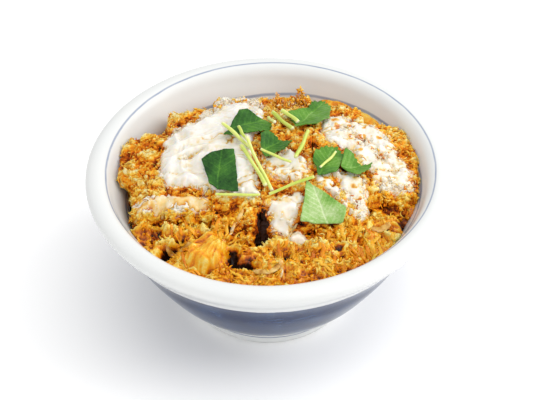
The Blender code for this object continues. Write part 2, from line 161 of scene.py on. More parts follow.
# Egg white: outline, softness, thickness, folds and the share of crumbs that show
WHITES = [
    ([(-46, 23), (-38, 27), (-31, 31), (-25, 39), (-19, 48), (-9, 48.5), (-2, 39), (-6, 22),
      (-8, 8), (-6, -8), (-5, -18), (-12, -20), (-22, -15.5), (-30, -13), (-38, -11.5), (-46, -9),
      (-48.5, 4)],
     1.7, 1.8, 2.6, 0.02),
    ([(-3, -3), (1, 5), (10, 7), (17, 4), (18, -5), (13, -10), (6, -8)], 0.9, 0.9, 0.5, 0.3),
    ([(25, 35), (31, 37), (38, 32), (44, 33), (50, 30), (55, 23), (61, 12), (65, 0), (64, -8),
      (56, -8), (49, -6), (45, 0), (38, 10), (29, 16), (25, 24)], 0.6, 0.6, 0.5, 0.75),
    ([(21, -7), (29, -4), (38, -3), (43, -8), (43.8, -20), (42.5, -28.5), (38, -27.5), (32, -21),
      (26, -16)], 0.9, 0.9, 0.7, 0.3),
    ([(2.5, -23), (8, -20.5), (14.5, -17), (16, -20), (13.5, -27), (9, -35), (2.5, -34)],
     1.0, 1.2, 0.4, 0.05),
    ([(9.5, -34.2), (13, -33.6), (16.5, -34.4), (16.5, -38.5), (10, -38.5)], 0.8, 1.0, 0.2, 0.0),
    ([(-60, -18), (-54, -14.5), (-46, -16), (-36, -17.5), (-28, -18), (-27.5, -22.8),
      (-42, -22.6), (-58, -22)], 0.8, 1.0, 0.3, 0.12),
]

# Golden gaps in the egg white: both ends and half width
WHITE_GAPS = [
    ((29.0, -8.0), (37.5, -24.0), 1.5), ((-40.0, 4.0), (-30.0, 9.0), 0.2),
    ((7.0, -2.0), (12.0, -7.0), 0.9), ((34.0, 27.0), (46.0, 18.0), 1.0),
    ((50.0, 12.0), (57.0, 2.0), 1.1),
]
# Peaks of crumbs at the back: centre x, y, width, height and how many
CRUMB_PEAKS = [
    (4.3, 45.5, 1.5, 9.0, 110), (11.6, 46.5, 1.6, 7.5, 100), (15.6, 48.0, 2.0, 10.5, 190),
    (8.5, 46.0, 1.4, 2.4, 30), (20.0, 45.0, 1.3, 3.4, 36), (-12.0, 50.0, 1.4, 3.0, 36),
    (-22.0, 47.0, 1.2, 2.6, 28), (-45.0, 31.0, 1.2, 2.6, 28),
]
# For each egg white: small lumps, golden seams between its folds, golden specks and paleness
LUMPS = [0.12, 0.4, 0.85, 0.45, 0.25, 0.15, 0.4]
SEAMS = [0.78, 0.5, 0.5, 0.7, 0.3, 0.1, 0.4]
SPECKS = [0.25, 0.65, 0.75, 0.65, 0.3, 0.1, 0.3]
PALENESS = [0.46, 0.4, 0.4, 0.42, 0.42, 0.42, 0.1]
# Crust that egg white only wets: outline and how much
FILMS = [
    ([(-47, 22), (-44, 30), (-36, 35), (-30, 44), (-26, 54), (-16, 60), (-4, 58), (0, 44), (-4, 30),
      (-24, 28), (-38, 18)], 0.95),
    ([(27, 34), (33, 40), (42, 36), (52, 28), (61, 16), (67, 4), (68, -9), (60, -14), (48, -13),
      (45, -4), (36, 10), (27, 18)], 0.8),
    ([(-64, -10), (-50, -8), (-40, -8), (-30, -12), (-30, -20), (-46, -20), (-62, -18)], 0.12),
    ([(-6, 8), (6, 10), (20, 8), (22, -6), (16, -14), (2, -12), (-4, -4)], 0.55),
    ([(18, -4), (30, 0), (42, -2), (46, -12), (45, -26), (40, -34), (30, -28), (20, -14)], 0.45),
    ([(-24, -20), (-12, -22), (-4, -26), (0, -36), (6, -38), (14, -36), (18, -20), (8, -16),
      (-8, -18)], 0.35),
]

# Onion: arc centre x, y, arc radius, first and last angle, strip width
ONIONS = [
    (46.0, -23.0, 9.0, 265.0, 330.0, 3.4),
    (-1.0, -50.0, 6.0, 200.0, 340.0, 2.8),
    (-38.0, -31.0, 10.0, 225.0, 295.0, 3.0),
]

# Mitsuba leaves: outline, turn of the fold, depth of the fold, curl of the edge, the
# sides with teeth, tone and distance between side veins
LEAVES = [
    ([(-30, 1), (-24, 4), (-15, 5), (-13, -19), (-22, -18), (-26, -14)], 85, 0.8, 1.2, (), 0.24, 3.4),
    ([(-20, 15), (-17, 21), (-13, 33), (-9, 35), (-4, 30), (2, 26), (1, 20), (-4, 19)],
     30, 1.6, 1.4, (5, 6), 0.34, 3.0),
    ([(9.5, 33), (14.5, 38), (19, 41), (21.5, 47), (26.5, 48), (29.5, 41), (28.5, 29), (22.5, 24),
      (13, 24), (11, 28)], 62, 2.8, 1.6, (2, 3, 4), 0.46, 3.0),
    ([(-3, 16), (0, 18.5), (3, 17.5), (6, 14), (11, 13), (8, 6), (3, 3), (-1, 2), (-3, 8)],
     40, 1.4, 1.0, (2, 3, 4, 5), 0.38, 2.6),
    ([(20, 1), (21.5, 7), (26, 9.5), (31, 10.5), (34.5, 5), (32.5, -2), (30.5, -8), (22.5, -9.5),
      (21.8, -3)], 70, 1.6, 1.2, (1, 2, 3), 0.52, 2.6),
    ([(32.5, -3.5), (35, 6.5), (38, 5.5), (41.5, 0), (47, 0), (45, -4.5), (39.5, -9.5), (35.5, -7.5)],
     20, 1.8, 1.0, (2, 3, 4, 5), 0.56, 2.4),
    ([(17, -13.5), (21, -16), (26, -19.5), (34.5, -26.5), (34.2, -30.5), (33, -34), (23.5, -33),
      (14, -32.3), (15.2, -27), (16.2, -21)], 110, 1.2, 1.4, (), 0.78, 2.6),
]
# Points round a leaf's rim, rings from its middle, and its teeth
LEAF_RIM = 180
LEAF_RINGS = 18
LEAF_THICKNESS = 0.5
LEAF_TOOTH = 2.6
LEAF_TOOTH_DEPTH = 1.1
# Width and depth of the midrib and of the side veins
MIDRIB = (0.38, 0.18)
VEIN = (0.28, 0.12)

# Mitsuba stems: both ends x, y and the radius
STEMS = [
    ((2.5, 35.5), (11.5, 22.5), 1.0), ((6.5, 33.0), (14.0, 25.5), 0.95),
    ((0.5, 32.5), (3.5, 23.0), 0.8), ((18.5, 20.0), (12.5, -1.5), 0.9),
    ((-3.0, 2.5), (10.5, -3.0), 0.65), ((-20.5, 20.5), (-8.0, 6.5), 0.85),
    ((-13.0, 20.0), (-8.8, 8.5), 0.75), ((-12.0, 7.0), (-1.0, -17.0), 0.9),
    ((-9.5, 9.0), (2.0, -17.5), 0.8), ((0.5, -20.5), (20.5, -13.5), 0.75),
    ((-23.3, -20.6), (-3.5, -20.2), 0.7), ((30.9, 6.3), (23.4, -4.4), 0.65),
]
# The last stem has no node
STEM_NODES = 11
# Stems that rest lower than their node, and how much of its height they keep
LOWERED_STEMS = {10: 0.3}
STEM_BOW = 0.4
STEM_STEPS = 26
STEM_SIDES = 12

# Light
WORLD_STRENGTH = 0.92
# Lamps: name, place, target, size and power
LAMPS = [
    ("key", (900, 60, 900), (0, 0, 50), 900, 6.4),
    ("overhead", (0, 0, 1400), (0, 0, 0), 1400, 4.6),
    ("front", (-150, -1100, 520), (0, 0, 30), 800, 2.4),
    ("low_right", (950, -60, 430), (0, 0, 70), 500, 2.6),
]

# Coat over wet food, and how far red, green and blue light scatter in it
COAT_ROUGHNESS = 0.12
SCATTER_REACH = (1.0, 0.55, 0.3)
# Colours as seen, from 0 to 255, and the share of them that food and glaze have themselves
SEEN_TO_ALBEDO = 0.72
GLAZE_SHARE = 0.71
GLAZE_WHITES = ((240, 243, 243), (246, 246, 243))
LINE_BLUE = (136, 152, 182)
FOOT_BLUE = (86, 106, 150)
BAND_STOPS = [(0.38, (0, 20, 58)), (0.5, (8, 42, 90)), (0.64, (58, 90, 132))]
# The first crust and egg stops, near black, give the painted shade of the open cut, the pits and the deepest
# hollows
CRUST_STOPS = [
    (0.0, (44, 14, 2)), (0.2, (166, 62, 0)), (0.4, (232, 116, 0)), (0.58, (255, 164, 24)),
    (0.78, (255, 214, 92)), (1.0, (255, 244, 184)),
]
EGG_STOPS = [
    (0.0, (40, 16, 4)), (0.2, (160, 68, 0)), (0.4, (232, 128, 0)), (0.6, (255, 170, 8)),
    (0.8, (255, 204, 60)), (1.0, (255, 234, 134)),
]
WHITE_STOPS = [
    (0.0, (212, 118, 10)), (0.2, (240, 176, 56)), (0.42, (250, 214, 134)),
    (0.68, (250, 238, 212)), (1.0, (255, 252, 244)),
]
LEAF_STOPS = [
    (0.0, (14, 60, 14)), (0.25, (56, 112, 34)), (0.5, (100, 156, 48)), (0.75, (154, 196, 104)),
    (1.0, (216, 232, 180)),
]
STEM_STOPS = [
    (0.0, (124, 164, 30)), (0.4, (200, 222, 84)), (0.75, (240, 248, 146)), (1.0, (255, 255, 216)),
]
ONION_STOPS = [
    (0.0, (120, 66, 14)), (0.35, (200, 138, 44)), (0.7, (236, 194, 104)), (1.0, (250, 234, 184)),
]
# Foods: stops, roughness, coat, scatter, size and depth of the grain, and shine
FOODS = {
    "simmered_egg": (EGG_STOPS, 0.3, 0.1, 0.2, 0.9, 0.2, 0.25),
    "soft_egg_white": (WHITE_STOPS, 0.2, 0.3, 0.35, 1.4, 0.03, 0.4),
    "simmered_onion": (ONION_STOPS, 0.3, 0.1, 0.3, 1.5, 0.06, 0.3),
    "mitsuba_leaf": (LEAF_STOPS, 0.42, 0.0, 0.0, 0.8, 0.05, 0.2),
    "mitsuba_stem": (STEM_STOPS, 0.38, 0.0, 0.1, 0.9, 0.04, 0.25),
}
FLOOR_GREY = 0.96
# Half the floor's side, in metres
FLOOR_HALF = 3.0

# Camera, fitted to the photograph
CAMERA_ELEVATION = 41.5
CAMERA_DISTANCE = 1000.0
CAMERA_LENS = 148.0
CAMERA_ROLL = 0.5
RIM_CENTRE_PIXEL = (268.0, 169.5)
IMAGE_SIZE = (540.0, 400.0)
SENSOR = 36.0


# Noise: each kind takes points in millimetres, the size of its lumps and a seed

def lattice_values(cells, seed):
    """Give one repeatable value from -1 to 1 for each whole-number cell."""
    mixed = cells[:, 0] * 374761393 + cells[:, 1] * 668265263 + cells[:, 2] * 2147483647
    mixed = (mixed + seed * 974711) & 0xFFFFFFFF
    mixed = ((mixed ^ (mixed >> 13)) * 1274126177) & 0xFFFFFFFF
    mixed = ((mixed ^ (mixed >> 16)) * 668265263) & 0xFFFFFFFF
    return ((mixed >> 8) & 0xFFFF) / 32767.5 - 1.0


def noise(points, size, seed):
    """Give smooth noise from -1 to 1, with lumps of one size."""
    spots = points / size
    cells = np.floor(spots).astype(np.int64)
    part = spots - cells
    part = part * part * part * (part * (part * 6.0 - 15.0) + 10.0)
    total = np.zeros(len(points))
    for corner in range(8):
        step = np.array([corner & 1, (corner >> 1) & 1, (corner >> 2) & 1])
        share = np.where(step, part, 1.0 - part).prod(axis=1)
        total += share * lattice_values(cells + step, seed)
    return total


def shifts(points, size, seed):
    """Give three values of noise for each point, to move it by."""
    return np.stack([noise(points, size, seed + axis) for axis in range(3)], axis=1)


def fractal(points, size, seed, octaves):
    """Give noise with ever finer lumps."""
    total = np.zeros(len(points))
    weight, whole = 1.0, 0.0
    for octave in range(octaves):
        total += weight * noise(points, size / 2.03 ** octave, seed + octave * 17)
        whole += weight
        weight *= 0.5
    return total / whole


def ridges(points, size, seed, octaves):
    """Give noise with sharp crests, from 0 to 1."""
    total = np.zeros(len(points))
    weight, whole = 1.0, 0.0
    for octave in range(octaves):
        crest = 1.0 - np.abs(noise(points, size / 2.1 ** octave, seed + octave * 31)) * 2.0
        total += weight * crest
        whole += weight
        weight *= 0.5
    return np.clip(total / whole * 0.5 + 0.5, 0.0, 1.0)


def clumps(points, size, seed):
    """Give the distance to the nearest of scattered points, about one size apart, and
    that point's own value."""
    spots = points / size
    cells = np.floor(spots).astype(np.int64)
    nearest = np.full(len(points), 9.0)
    value = np.zeros(len(points))
    for across in (-1, 0, 1):
        for along in (-1, 0, 1):
            for up in (-1, 0, 1):
                there = cells + np.array([across, along, up])
                centre = np.stack([lattice_values(there, seed + k) for k in (1, 2, 3)], axis=1)
                centre = there + 0.5 + centre * 0.45
                distance = np.linalg.norm(spots - centre, axis=1)
                closer = distance < nearest
                nearest = np.where(closer, distance, nearest)
                value = np.where(closer, lattice_values(there, seed + 4), value)
    return nearest, value


def smooth_step(low, high, value):
    """Rise smoothly from 0 at low to 1 at high."""
    part = np.clip((value - low) / (high - low), 0.0, 1.0)
    return part * part * (3.0 - 2.0 * part)


# Meshes

def add_piece(name, points, faces, material, nodes, tones):
    """Write points in millimetres and faces to a smooth piece that rides on the dish."""
    mesh = bpy.data.meshes.new(name)
    faces = faces.tolist() if isinstance(faces, np.ndarray) else faces
    mesh.from_pydata((points * MM).tolist(), [], faces)
    mesh.shade_smooth()
    for label, values in tones.items():
        stored = mesh.attributes.new(label, "FLOAT", "POINT")
        stored.data.foreach_set("value", np.asarray(values, np.float32))
    mesh.materials.append(material)
    obj = bpy.data.objects.new(name, mesh)
    bpy.context.scene.collection.objects.link(obj)
    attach(obj, "root")
    if nodes:
        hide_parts(*nodes)


def node_arrays(node, voxel=None):
    """Give a CAD node's points in millimetres, its triangles and its normals, remeshed."""
    copy = bpy.data.objects.new("copy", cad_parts[node].data.copy())
    bpy.context.scene.collection.objects.link(copy)
    if voxel:
        remesh = copy.modifiers.new("voxels", "REMESH")
        remesh.mode = "VOXEL"
        remesh.voxel_size = voxel * MM
    bpy.context.view_layer.update()
    graph = bpy.context.evaluated_depsgraph_get()
    mesh = bpy.data.meshes.new_from_object(copy.evaluated_get(graph))
    mesh.calc_loop_triangles()
    points = np.zeros(len(mesh.vertices) * 3, np.float32)
    normals = np.zeros(len(mesh.vertices) * 3, np.float32)
    faces = np.zeros(len(mesh.loop_triangles) * 3, np.int32)
    mesh.vertices.foreach_get("co", points)
    mesh.vertex_normals.foreach_get("vector", normals)
    mesh.loop_triangles.foreach_get("vertices", faces)
    bpy.data.objects.remove(copy)
    bpy.data.meshes.remove(mesh)
    points = points.reshape(-1, 3).astype(float) / MM
    return points, faces.reshape(-1, 3), normals.reshape(-1, 3).astype(float)


def ring_faces(rings, sides):
    """Give the four-sided faces between rings of points that follow one another."""
    ring, side = np.meshgrid(np.arange(rings - 1), np.arange(sides), indexing="ij")
    following = (side + 1) % sides
    return np.stack([ring * sides + side, (ring + 1) * sides + side, (ring + 1) * sides + following,
                     ring * sides + following], axis=2).reshape(-1, 4)


def softened(values, times, closed=False):
    """Even out a row of values; its ends are kept, or joined where it is closed."""
    for _ in range(times):
        even = 0.25 * np.roll(values, 1, axis=0) + 0.5 * values + 0.25 * np.roll(values, -1, axis=0)
        values = even if closed else np.concatenate([values[:1], even[1:-1], values[-1:]])
    return values


# Materials

def new_material(name, roughness, coat=0.0, scatter=0.0, scatter_size=1.0, shine=0.5):
    """Start a material; give it with its node tree and its shader."""
    material = bpy.data.materials.new(name)
    material.use_nodes = True
    shader = material.node_tree.nodes["Principled BSDF"]
    shader.inputs["Roughness"].default_value = roughness
    shader.inputs["Specular IOR Level"].default_value = shine
    shader.inputs["Coat Weight"].default_value = coat
    shader.inputs["Coat Roughness"].default_value = COAT_ROUGHNESS
    shader.inputs["Subsurface Weight"].default_value = scatter
    shader.inputs["Subsurface Radius"].default_value = SCATTER_REACH
    shader.inputs["Subsurface Scale"].default_value = scatter_size * MM
    return material, material.node_tree, shader


def linear(colour, share=SEEN_TO_ALBEDO):
    """Turn a colour as seen under the studio light, from 0 to 255, into the one that
    shaders take."""
    values = [channel / 255.0 for channel in colour]
    values = [v / 12.92 if v <= 0.04045 else ((v + 0.055) / 1.055) ** 2.4 for v in values]
    return [v * share for v in values] + [1.0]


def feed(tree, socket, value):
    """Set a socket to a number or colour, or link another socket to it."""
    if isinstance(value, bpy.types.NodeSocket):
        tree.links.new(value, socket)
    else:
        socket.default_value = value


def math_node(tree, operation, *values):
    """Add a math node whose inputs are numbers or other sockets."""
    node = tree.nodes.new("ShaderNodeMath")
    node.operation = operation
    for socket, value in zip(node.inputs, values):
        feed(tree, socket, value)
    return node.outputs[0]


def map_range(tree, value, low, high, to_low=0.0, to_high=1.0):
    """Add a smooth map from one range to another."""
    node = tree.nodes.new("ShaderNodeMapRange")
    node.interpolation_type = "SMOOTHSTEP"
    tree.links.new(value, node.inputs["Value"])
    node.inputs["From Min"].default_value = low
    node.inputs["From Max"].default_value = high
    node.inputs["To Min"].default_value = to_low
    node.inputs["To Max"].default_value = to_high
    return node.outputs[0]


def mix_colour(tree, share, first, second):
    """Add a mix of two colours."""
    node = tree.nodes.new("ShaderNodeMix")
    node.data_type = "RGBA"
    for socket, value in ((node.inputs[0], share), (node.inputs[6], first), (node.inputs[7], second)):
        feed(tree, socket, value)
    return node.outputs[2]


def attribute(tree, name):
    """Read a number stored on the mesh's points."""
    node = tree.nodes.new("ShaderNodeAttribute")
    node.attribute_name = name
    return node.outputs["Fac"]


def ramp(tree, value, stops):
    """Add a colour ramp through stops of place and screen colour."""
    node = tree.nodes.new("ShaderNodeValToRGB")
    elements = node.color_ramp.elements
    while len(elements) < len(stops):
        elements.new(0.5)
    for element, (place, colour) in zip(elements, stops):
        element.position = place
        element.color = linear(colour)
    tree.links.new(value, node.inputs["Fac"])
    return node.outputs["Color"]


def object_place(tree):
    """Give the point being shaded, in the piece's own space."""
    return tree.nodes.new("ShaderNodeTexCoord").outputs["Object"]


def noise_node(tree, place, size, detail=3.0, roughness=0.55):
    """Add a noise texture whose lumps have one size in millimetres."""
    node = tree.nodes.new("ShaderNodeTexNoise")
    tree.links.new(place, node.inputs["Vector"])
    node.inputs["Scale"].default_value = 1.0 / (size * MM)
    node.inputs["Detail"].default_value = detail
    node.inputs["Roughness"].default_value = roughness
    return node.outputs["Fac"]


def bump(tree, shader, height, depth):
    """Add fine relief, its depth in millimetres."""
    node = tree.nodes.new("ShaderNodeBump")
    node.inputs["Distance"].default_value = depth * MM
    tree.links.new(height, node.inputs["Height"])
    tree.links.new(node.outputs["Normal"], shader.inputs["Normal"])


def glaze_material():
    """White glazed porcelain with a brushed blue band and thin painted lines."""
    material, tree, shader = new_material("glazed_porcelain", 0.14, shine=0.13)
    do = partial(math_node, tree)
    place = object_place(tree)
    split = tree.nodes.new("ShaderNodeSeparateXYZ")
    tree.links.new(place, split.inputs[0])
    x, y, z = split.outputs
    inside = attribute(tree, "inside")
    outside = do("SUBTRACT", 1.0, inside)
    wobble = do("SUBTRACT", noise_node(tree, place, 9.0, 2.0), 0.5)
    colour = mix_colour(tree, noise_node(tree, place, 30.0),
                        *(linear(white, GLAZE_SHARE) for white in GLAZE_WHITES))

    for centre_x, centre_y, radius, half in (LIP_LINE, WALL_LINE):
        across, along = do("SUBTRACT", x, centre_x * MM), do("SUBTRACT", y, centre_y * MM)
        reach = do("SQRT", do("ADD", do("MULTIPLY", across, across), do("MULTIPLY", along, along)))
        reach = do("MULTIPLY_ADD", wobble, 0.4 * MM, reach)
        off = do("ABSOLUTE", do("SUBTRACT", reach, radius * MM))
        line = map_range(tree, off, half * MM * 1.7, half * MM * 0.4)
        faded = do("MULTIPLY_ADD", wobble, 0.5, 0.75)
        line = do("MULTIPLY", do("MULTIPLY", line, inside), faded)
        colour = mix_colour(tree, line, colour, linear(LINE_BLUE))

    combine = tree.nodes.new("ShaderNodeCombineXYZ")
    tree.links.new(do("MULTIPLY", do("ARCTAN2", y, x), STREAK_LENGTH), combine.inputs[0])
    tree.links.new(z, combine.inputs[2])
    streak = noise_node(tree, combine.outputs[0], 1.6, 5.0, 0.65)
    patch = noise_node(tree, place, 22.0, 3.0)
    tone = do("MULTIPLY_ADD", streak, 0.6, do("MULTIPLY", patch, 0.4))
    edge = do("MULTIPLY_ADD", wobble, 1.2 * MM, z)
    band = do("MULTIPLY", map_range(tree, edge, (BAND_TOP + 0.3) * MM, (BAND_TOP - 0.3) * MM),
              map_range(tree, edge, (BAND_BOTTOM - 0.3) * MM, (BAND_BOTTOM + 0.3) * MM))
    colour = mix_colour(tree, do("MULTIPLY", band, outside), colour, ramp(tree, tone, BAND_STOPS))
    foot = do("ABSOLUTE", do("SUBTRACT", z, FOOT_LINE * MM))
    foot = do("MULTIPLY", map_range(tree, foot, 0.6 * MM, 0.2 * MM), outside)
    colour = mix_colour(tree, foot, colour, linear(FOOT_BLUE))

    tree.links.new(colour, shader.inputs["Base Color"])
    ripple = do("MULTIPLY_ADD", streak, 0.1, noise_node(tree, place, 14.0, 2.0))
    bump(tree, shader, ripple, 0.12)
    return material


def food_material(name, stops, roughness, coat, scatter, grain, grain_depth, shine):
    """Moist food whose colour follows the tone stored on its points, with fine grain."""
    material, tree, shader = new_material(name, roughness, coat, scatter, 1.2, shine)
    do = partial(math_node, tree)
    place = object_place(tree)
    fine = noise_node(tree, place, grain, 4.0, 0.6)
    tone = do("MULTIPLY_ADD", do("SUBTRACT", fine, 0.5), 0.35, attribute(tree, "tone"))
    tree.links.new(ramp(tree, tone, stops), shader.inputs["Base Color"])
    rough = map_range(tree, noise_node(tree, place, grain * 3.0), 0.3, 0.7, roughness * 0.7,
                      min(roughness * 1.4, 1.0))
    tree.links.new(rough, shader.inputs["Roughness"])
    bump(tree, shader, fine, grain_depth)
    return material


def crust_material():
    """Fried bread crumbs: golden, soaked with egg in places, wetted by egg white in others."""
    material, tree, shader = new_material("fried_crust", 0.5, 0.0, 0.15, 1.0, 0.12)
    do = partial(math_node, tree)
    place = object_place(tree)
    fine = noise_node(tree, place, 0.7, 4.0, 0.6)
    tone = do("ADD", do("MULTIPLY", do("SUBTRACT", fine, 0.5), 0.4), attribute(tree, "tone"))
    colour = mix_colour(tree, attribute(tree, "egg"), ramp(tree, tone, CRUST_STOPS),
                        ramp(tree, tone, EGG_STOPS))
    speckle = do("SUBTRACT", noise_node(tree, place, 1.1, 3.0, 0.6), 0.5)
    film = do("MULTIPLY_ADD", speckle, 1.6, attribute(tree, "film"))
    film = do("MULTIPLY", map_range(tree, film, 0.25, 0.85),
              map_range(tree, attribute(tree, "film"), 0.02, 0.25))
    pale = do("MULTIPLY_ADD", tone, 0.45, 0.46)
    colour = mix_colour(tree, film, colour, ramp(tree, pale, WHITE_STOPS))
    tree.links.new(colour, shader.inputs["Base Color"])
    tree.links.new(map_range(tree, film, 0.0, 1.0, 0.5, 0.3), shader.inputs["Roughness"])
    bump(tree, shader, fine, 0.18)
    return material


# Bowl

def resampled(profile, step):
    """Give a smooth profile through the same points, at even steps."""
    points = np.array(profile, float)
    lengths = np.r_[0.0, np.cumsum(np.linalg.norm(np.diff(points, axis=0), axis=1))]
    count = max(2, int(lengths[-1] / step))
    places = np.linspace(0.0, lengths[-1], count + 1)
    padded = np.vstack([2 * points[0] - points[1], points, 2 * points[-1] - points[-2]])
    out = []
    for place in places:
        index = min(int(np.searchsorted(lengths, place, side="right")) - 1, len(points) - 2)
        t = (place - lengths[index]) / (lengths[index + 1] - lengths[index])
        a, b, c, d = padded[index:index + 4]
        out.append(0.5 * (2 * b + (c - a) * t + (2 * a - 5 * b + 4 * c - d) * t * t
                          + (3 * b - a - 3 * c + d) * t ** 3))
    return np.array(out)


def build_bowl():
    """Turn the smooth bowl."""
    inner = resampled(INNER_PROFILE + OUTER_PROFILE[:2], PROFILE_STEP)
    outer = resampled(OUTER_PROFILE[1:], PROFILE_STEP)
    foot = resampled(FOOT_PROFILE, PROFILE_STEP * 0.7)
    profile = np.maximum(softened(np.vstack([inner, outer[1:], foot]), PROFILE_SOFTEN), 0.0)
    inside = np.arange(len(profile)) < len(inner)
    turns = np.linspace(0.0, 2.0 * math.pi, BOWL_TURNS, endpoint=False)
    radius, height = profile[:, :1], profile[:, 1:]
    points = np.stack([radius * np.cos(turns), radius * np.sin(turns),
                       np.repeat(height, BOWL_TURNS, axis=1)], axis=2)
    add_piece("porcelain_bowl", points.reshape(-1, 3), ring_faces(len(profile), BOWL_TURNS),
              glaze_material(), ["bowl"], {"inside": np.repeat(inside, BOWL_TURNS)})


def wall_radius(height):
    """Give the bowl's inner radius at each height."""
    radii, heights = zip(*INNER_PROFILE)
    return np.interp(height, heights, radii)


# Fields: one value for each point of a square grid seen from above

def blur(field, size):
    """Soften a field over a size in millimetres."""
    rows = np.fft.fftfreq(field.shape[0], FIELD_STEP)[:, None]
    columns = np.fft.rfftfreq(field.shape[1], FIELD_STEP)[None, :]
    fall = np.exp(-2.0 * (math.pi * size) ** 2 * (rows ** 2 + columns ** 2))
    return np.fft.irfft2(np.fft.rfft2(field) * fall, s=field.shape)


def highest(field, reach):
    """Give each point the highest value within a reach in millimetres."""
    steps = int(round(reach / FIELD_STEP))
    best = field.copy()
    for up in range(-steps, steps + 1):
        for across in range(-steps, steps + 1):
            if up * up + across * across <= steps * steps + 1:
                best = np.maximum(best, np.roll(field, (up, across), axis=(0, 1)))
    return best


def sample(field, x, y):
    """Read a field at any place."""
    column = np.clip((x + FIELD_HALF) / FIELD_STEP, 0.0, FIELD_COUNT - 1.001)
    row = np.clip((y + FIELD_HALF) / FIELD_STEP, 0.0, FIELD_COUNT - 1.001)
    i, j = row.astype(int), column.astype(int)
    a, b = row - i, column - j
    return ((field[i, j] * (1 - b) + field[i, j + 1] * b) * (1 - a)
            + (field[i + 1, j] * (1 - b) + field[i + 1, j + 1] * b) * a)


def beside(x, y, start, end):
    """Give how far along a line places lie, from 0 to 1, and how far they are from it."""
    along = np.subtract(end, start)
    share = ((x - start[0]) * along[0] + (y - start[1]) * along[1]) / (along @ along)
    share = np.clip(share, 0.0, 1.0)
    return share, np.hypot(x - start[0] - share * along[0], y - start[1] - share * along[1])


def turned(x, y, centre_x, centre_y, degrees):
    """Give how far places lie along and across a direction through a centre."""
    cosine, sine = math.cos(math.radians(degrees)), math.sin(math.radians(degrees))
    return ((x - centre_x) * cosine + (y - centre_y) * sine,
            (y - centre_y) * cosine - (x - centre_x) * sine)


def depth_inside(outline, x, y):
    """Give how far each place lies inside an outline; outside is below zero."""
    corners = np.array(outline, float)
    nearest = np.full(x.shape, 1000.0)
    inside = np.zeros(x.shape, bool)
    for start, end in zip(corners, np.roll(corners, -1, axis=0)):
        nearest = np.minimum(nearest, beside(x, y, start, end)[1])
        edge = end - start
        if edge[1] != 0.0:
            crossing = (start[1] > y) != (end[1] > y)
            inside ^= crossing & (x < start[0] + (y - start[1]) / edge[1] * edge[0])
    return np.where(inside, nearest, -nearest)


def seen_height(points, faces, mask, level, inward=1.0):
    """Give a mesh's height from above where a mask holds, and a level elsewhere."""
    tree = BVHTree.FromPolygons(points.tolist(), faces.tolist())
    down = Vector((0.0, 0.0, -1.0))
    x, y = FX * inward, FY * inward
    height = np.full(FX.shape, level)
    for i, j in np.argwhere(mask):
        hit = tree.ray_cast(Vector((x[i, j], y[i, j], LOOKOUT)), down)[0]
        if hit is not None:
            height[i, j] = hit.z
    return height


def field_noise(size, seed, octaves=3):
    """Give a field of fractal noise."""
    return fractal(FLAT, size, seed, octaves).reshape(FX.shape)


def field_cells(keep):
    """Give the grid's square faces whose corners are all kept, and their border edges."""
    index = np.arange(keep.size).reshape(keep.shape)
    quads = np.stack([index[:-1, :-1], index[:-1, 1:], index[1:, 1:], index[1:, :-1]], axis=2)
    quads = quads.reshape(-1, 4)
    quads = quads[keep.ravel()[quads].all(axis=1)]
    used, faces = np.unique(quads, return_inverse=True)
    faces = faces.reshape(-1, 4)
    edges = np.vstack([faces[:, [0, 1]], faces[:, [1, 2]], faces[:, [2, 3]], faces[:, [3, 0]]])
    forward = edges[:, 0].astype(np.int64) * len(used) + edges[:, 1]
    backward = edges[:, 1].astype(np.int64) * len(used) + edges[:, 0]
    return used, faces, edges[~np.isin(forward, backward)]


def field_solid(name, keep, top, bottom, material, nodes, tones):
    """Make a closed piece between two fields where a mask holds."""
    used, faces, border = field_cells(keep)
    count = len(used)
    upper = np.stack([FX.ravel()[used], FY.ravel()[used], top.ravel()[used]], axis=1)
    lower = upper.copy()
    lower[:, 2] = bottom.ravel()[used]
    walls = np.stack([border[:, 1], border[:, 0], border[:, 0] + count, border[:, 1] + count], axis=1)
    quads = np.vstack([faces, faces[:, ::-1] + count, walls])
    tones = {label: np.tile(values.ravel()[used], 2) for label, values in tones.items()}
    add_piece(name, np.vstack([upper, lower]), quads, material, nodes, tones)


# Cutlet

def crust_relief(points, seed):
    """Give how far the crust stands out, and its tone with painted shade, at points in millimetres."""
    broad = fractal(points, SWELL, seed, 2)
    warp = shifts(points, FLAKE, seed + 20)
    lump, lump_value = clumps(points + 1.5 * warp, LUMP, seed)
    crumb, crumb_value = clumps(points + 0.9 * warp, CRUMB, seed + 9)
    fine = fractal(points, GRAIN, seed + 3, 2)
    flake = ridges(points + warp, FLAKE, seed + 30, 2)
    crevice = smooth_step(0.16, 0.0, np.abs(fractal(points, SWELL, seed + 12, 3)))
    relief = (1.4 * broad + 1.7 * (0.5 - lump) + 0.6 * (0.5 - crumb) + 0.3 * fine
              + 1.5 * (flake - 0.5) - 1.2 * crevice)
    patch = fractal(points + 2.0 * noise(points, 3.0, seed + 6)[:, None], 4.6, seed + 7, 3)
    # Painted light: the tone follows the relief, paler on crests and flakes, with painted shade darkening
    # the hollows and crevices
    tone = 0.5 + 0.34 * patch + 0.06 * lump_value + 0.06 * crumb_value + 0.2 * (0.5 - crumb)
    tone += 0.3 * relief + 0.28 * (flake - 0.5) - 0.08 * crevice
    return relief, soft_floor(tone, 0.24, 0.5)


def soft_floor(tone, low, share):
    """Press the tones below a level together, so that only the deepest painted shade in hollows turns dark.
    """
    return np.where(tone < low, low + share * (tone - low), tone)


def egg_share(points, normals):
    """Give how much the crust has soaked up egg: most on the slopes in front."""
    lean = smooth_step(-0.1, -0.75, normals[:, 1])
    low = smooth_step(73.0, 64.0, points[:, 2])
    patch = fractal(points, 5.0, 131, 2)
    return np.clip(0.2 + 0.45 * lean + 0.4 * low + 0.8 * patch, 0.0, 1.0)


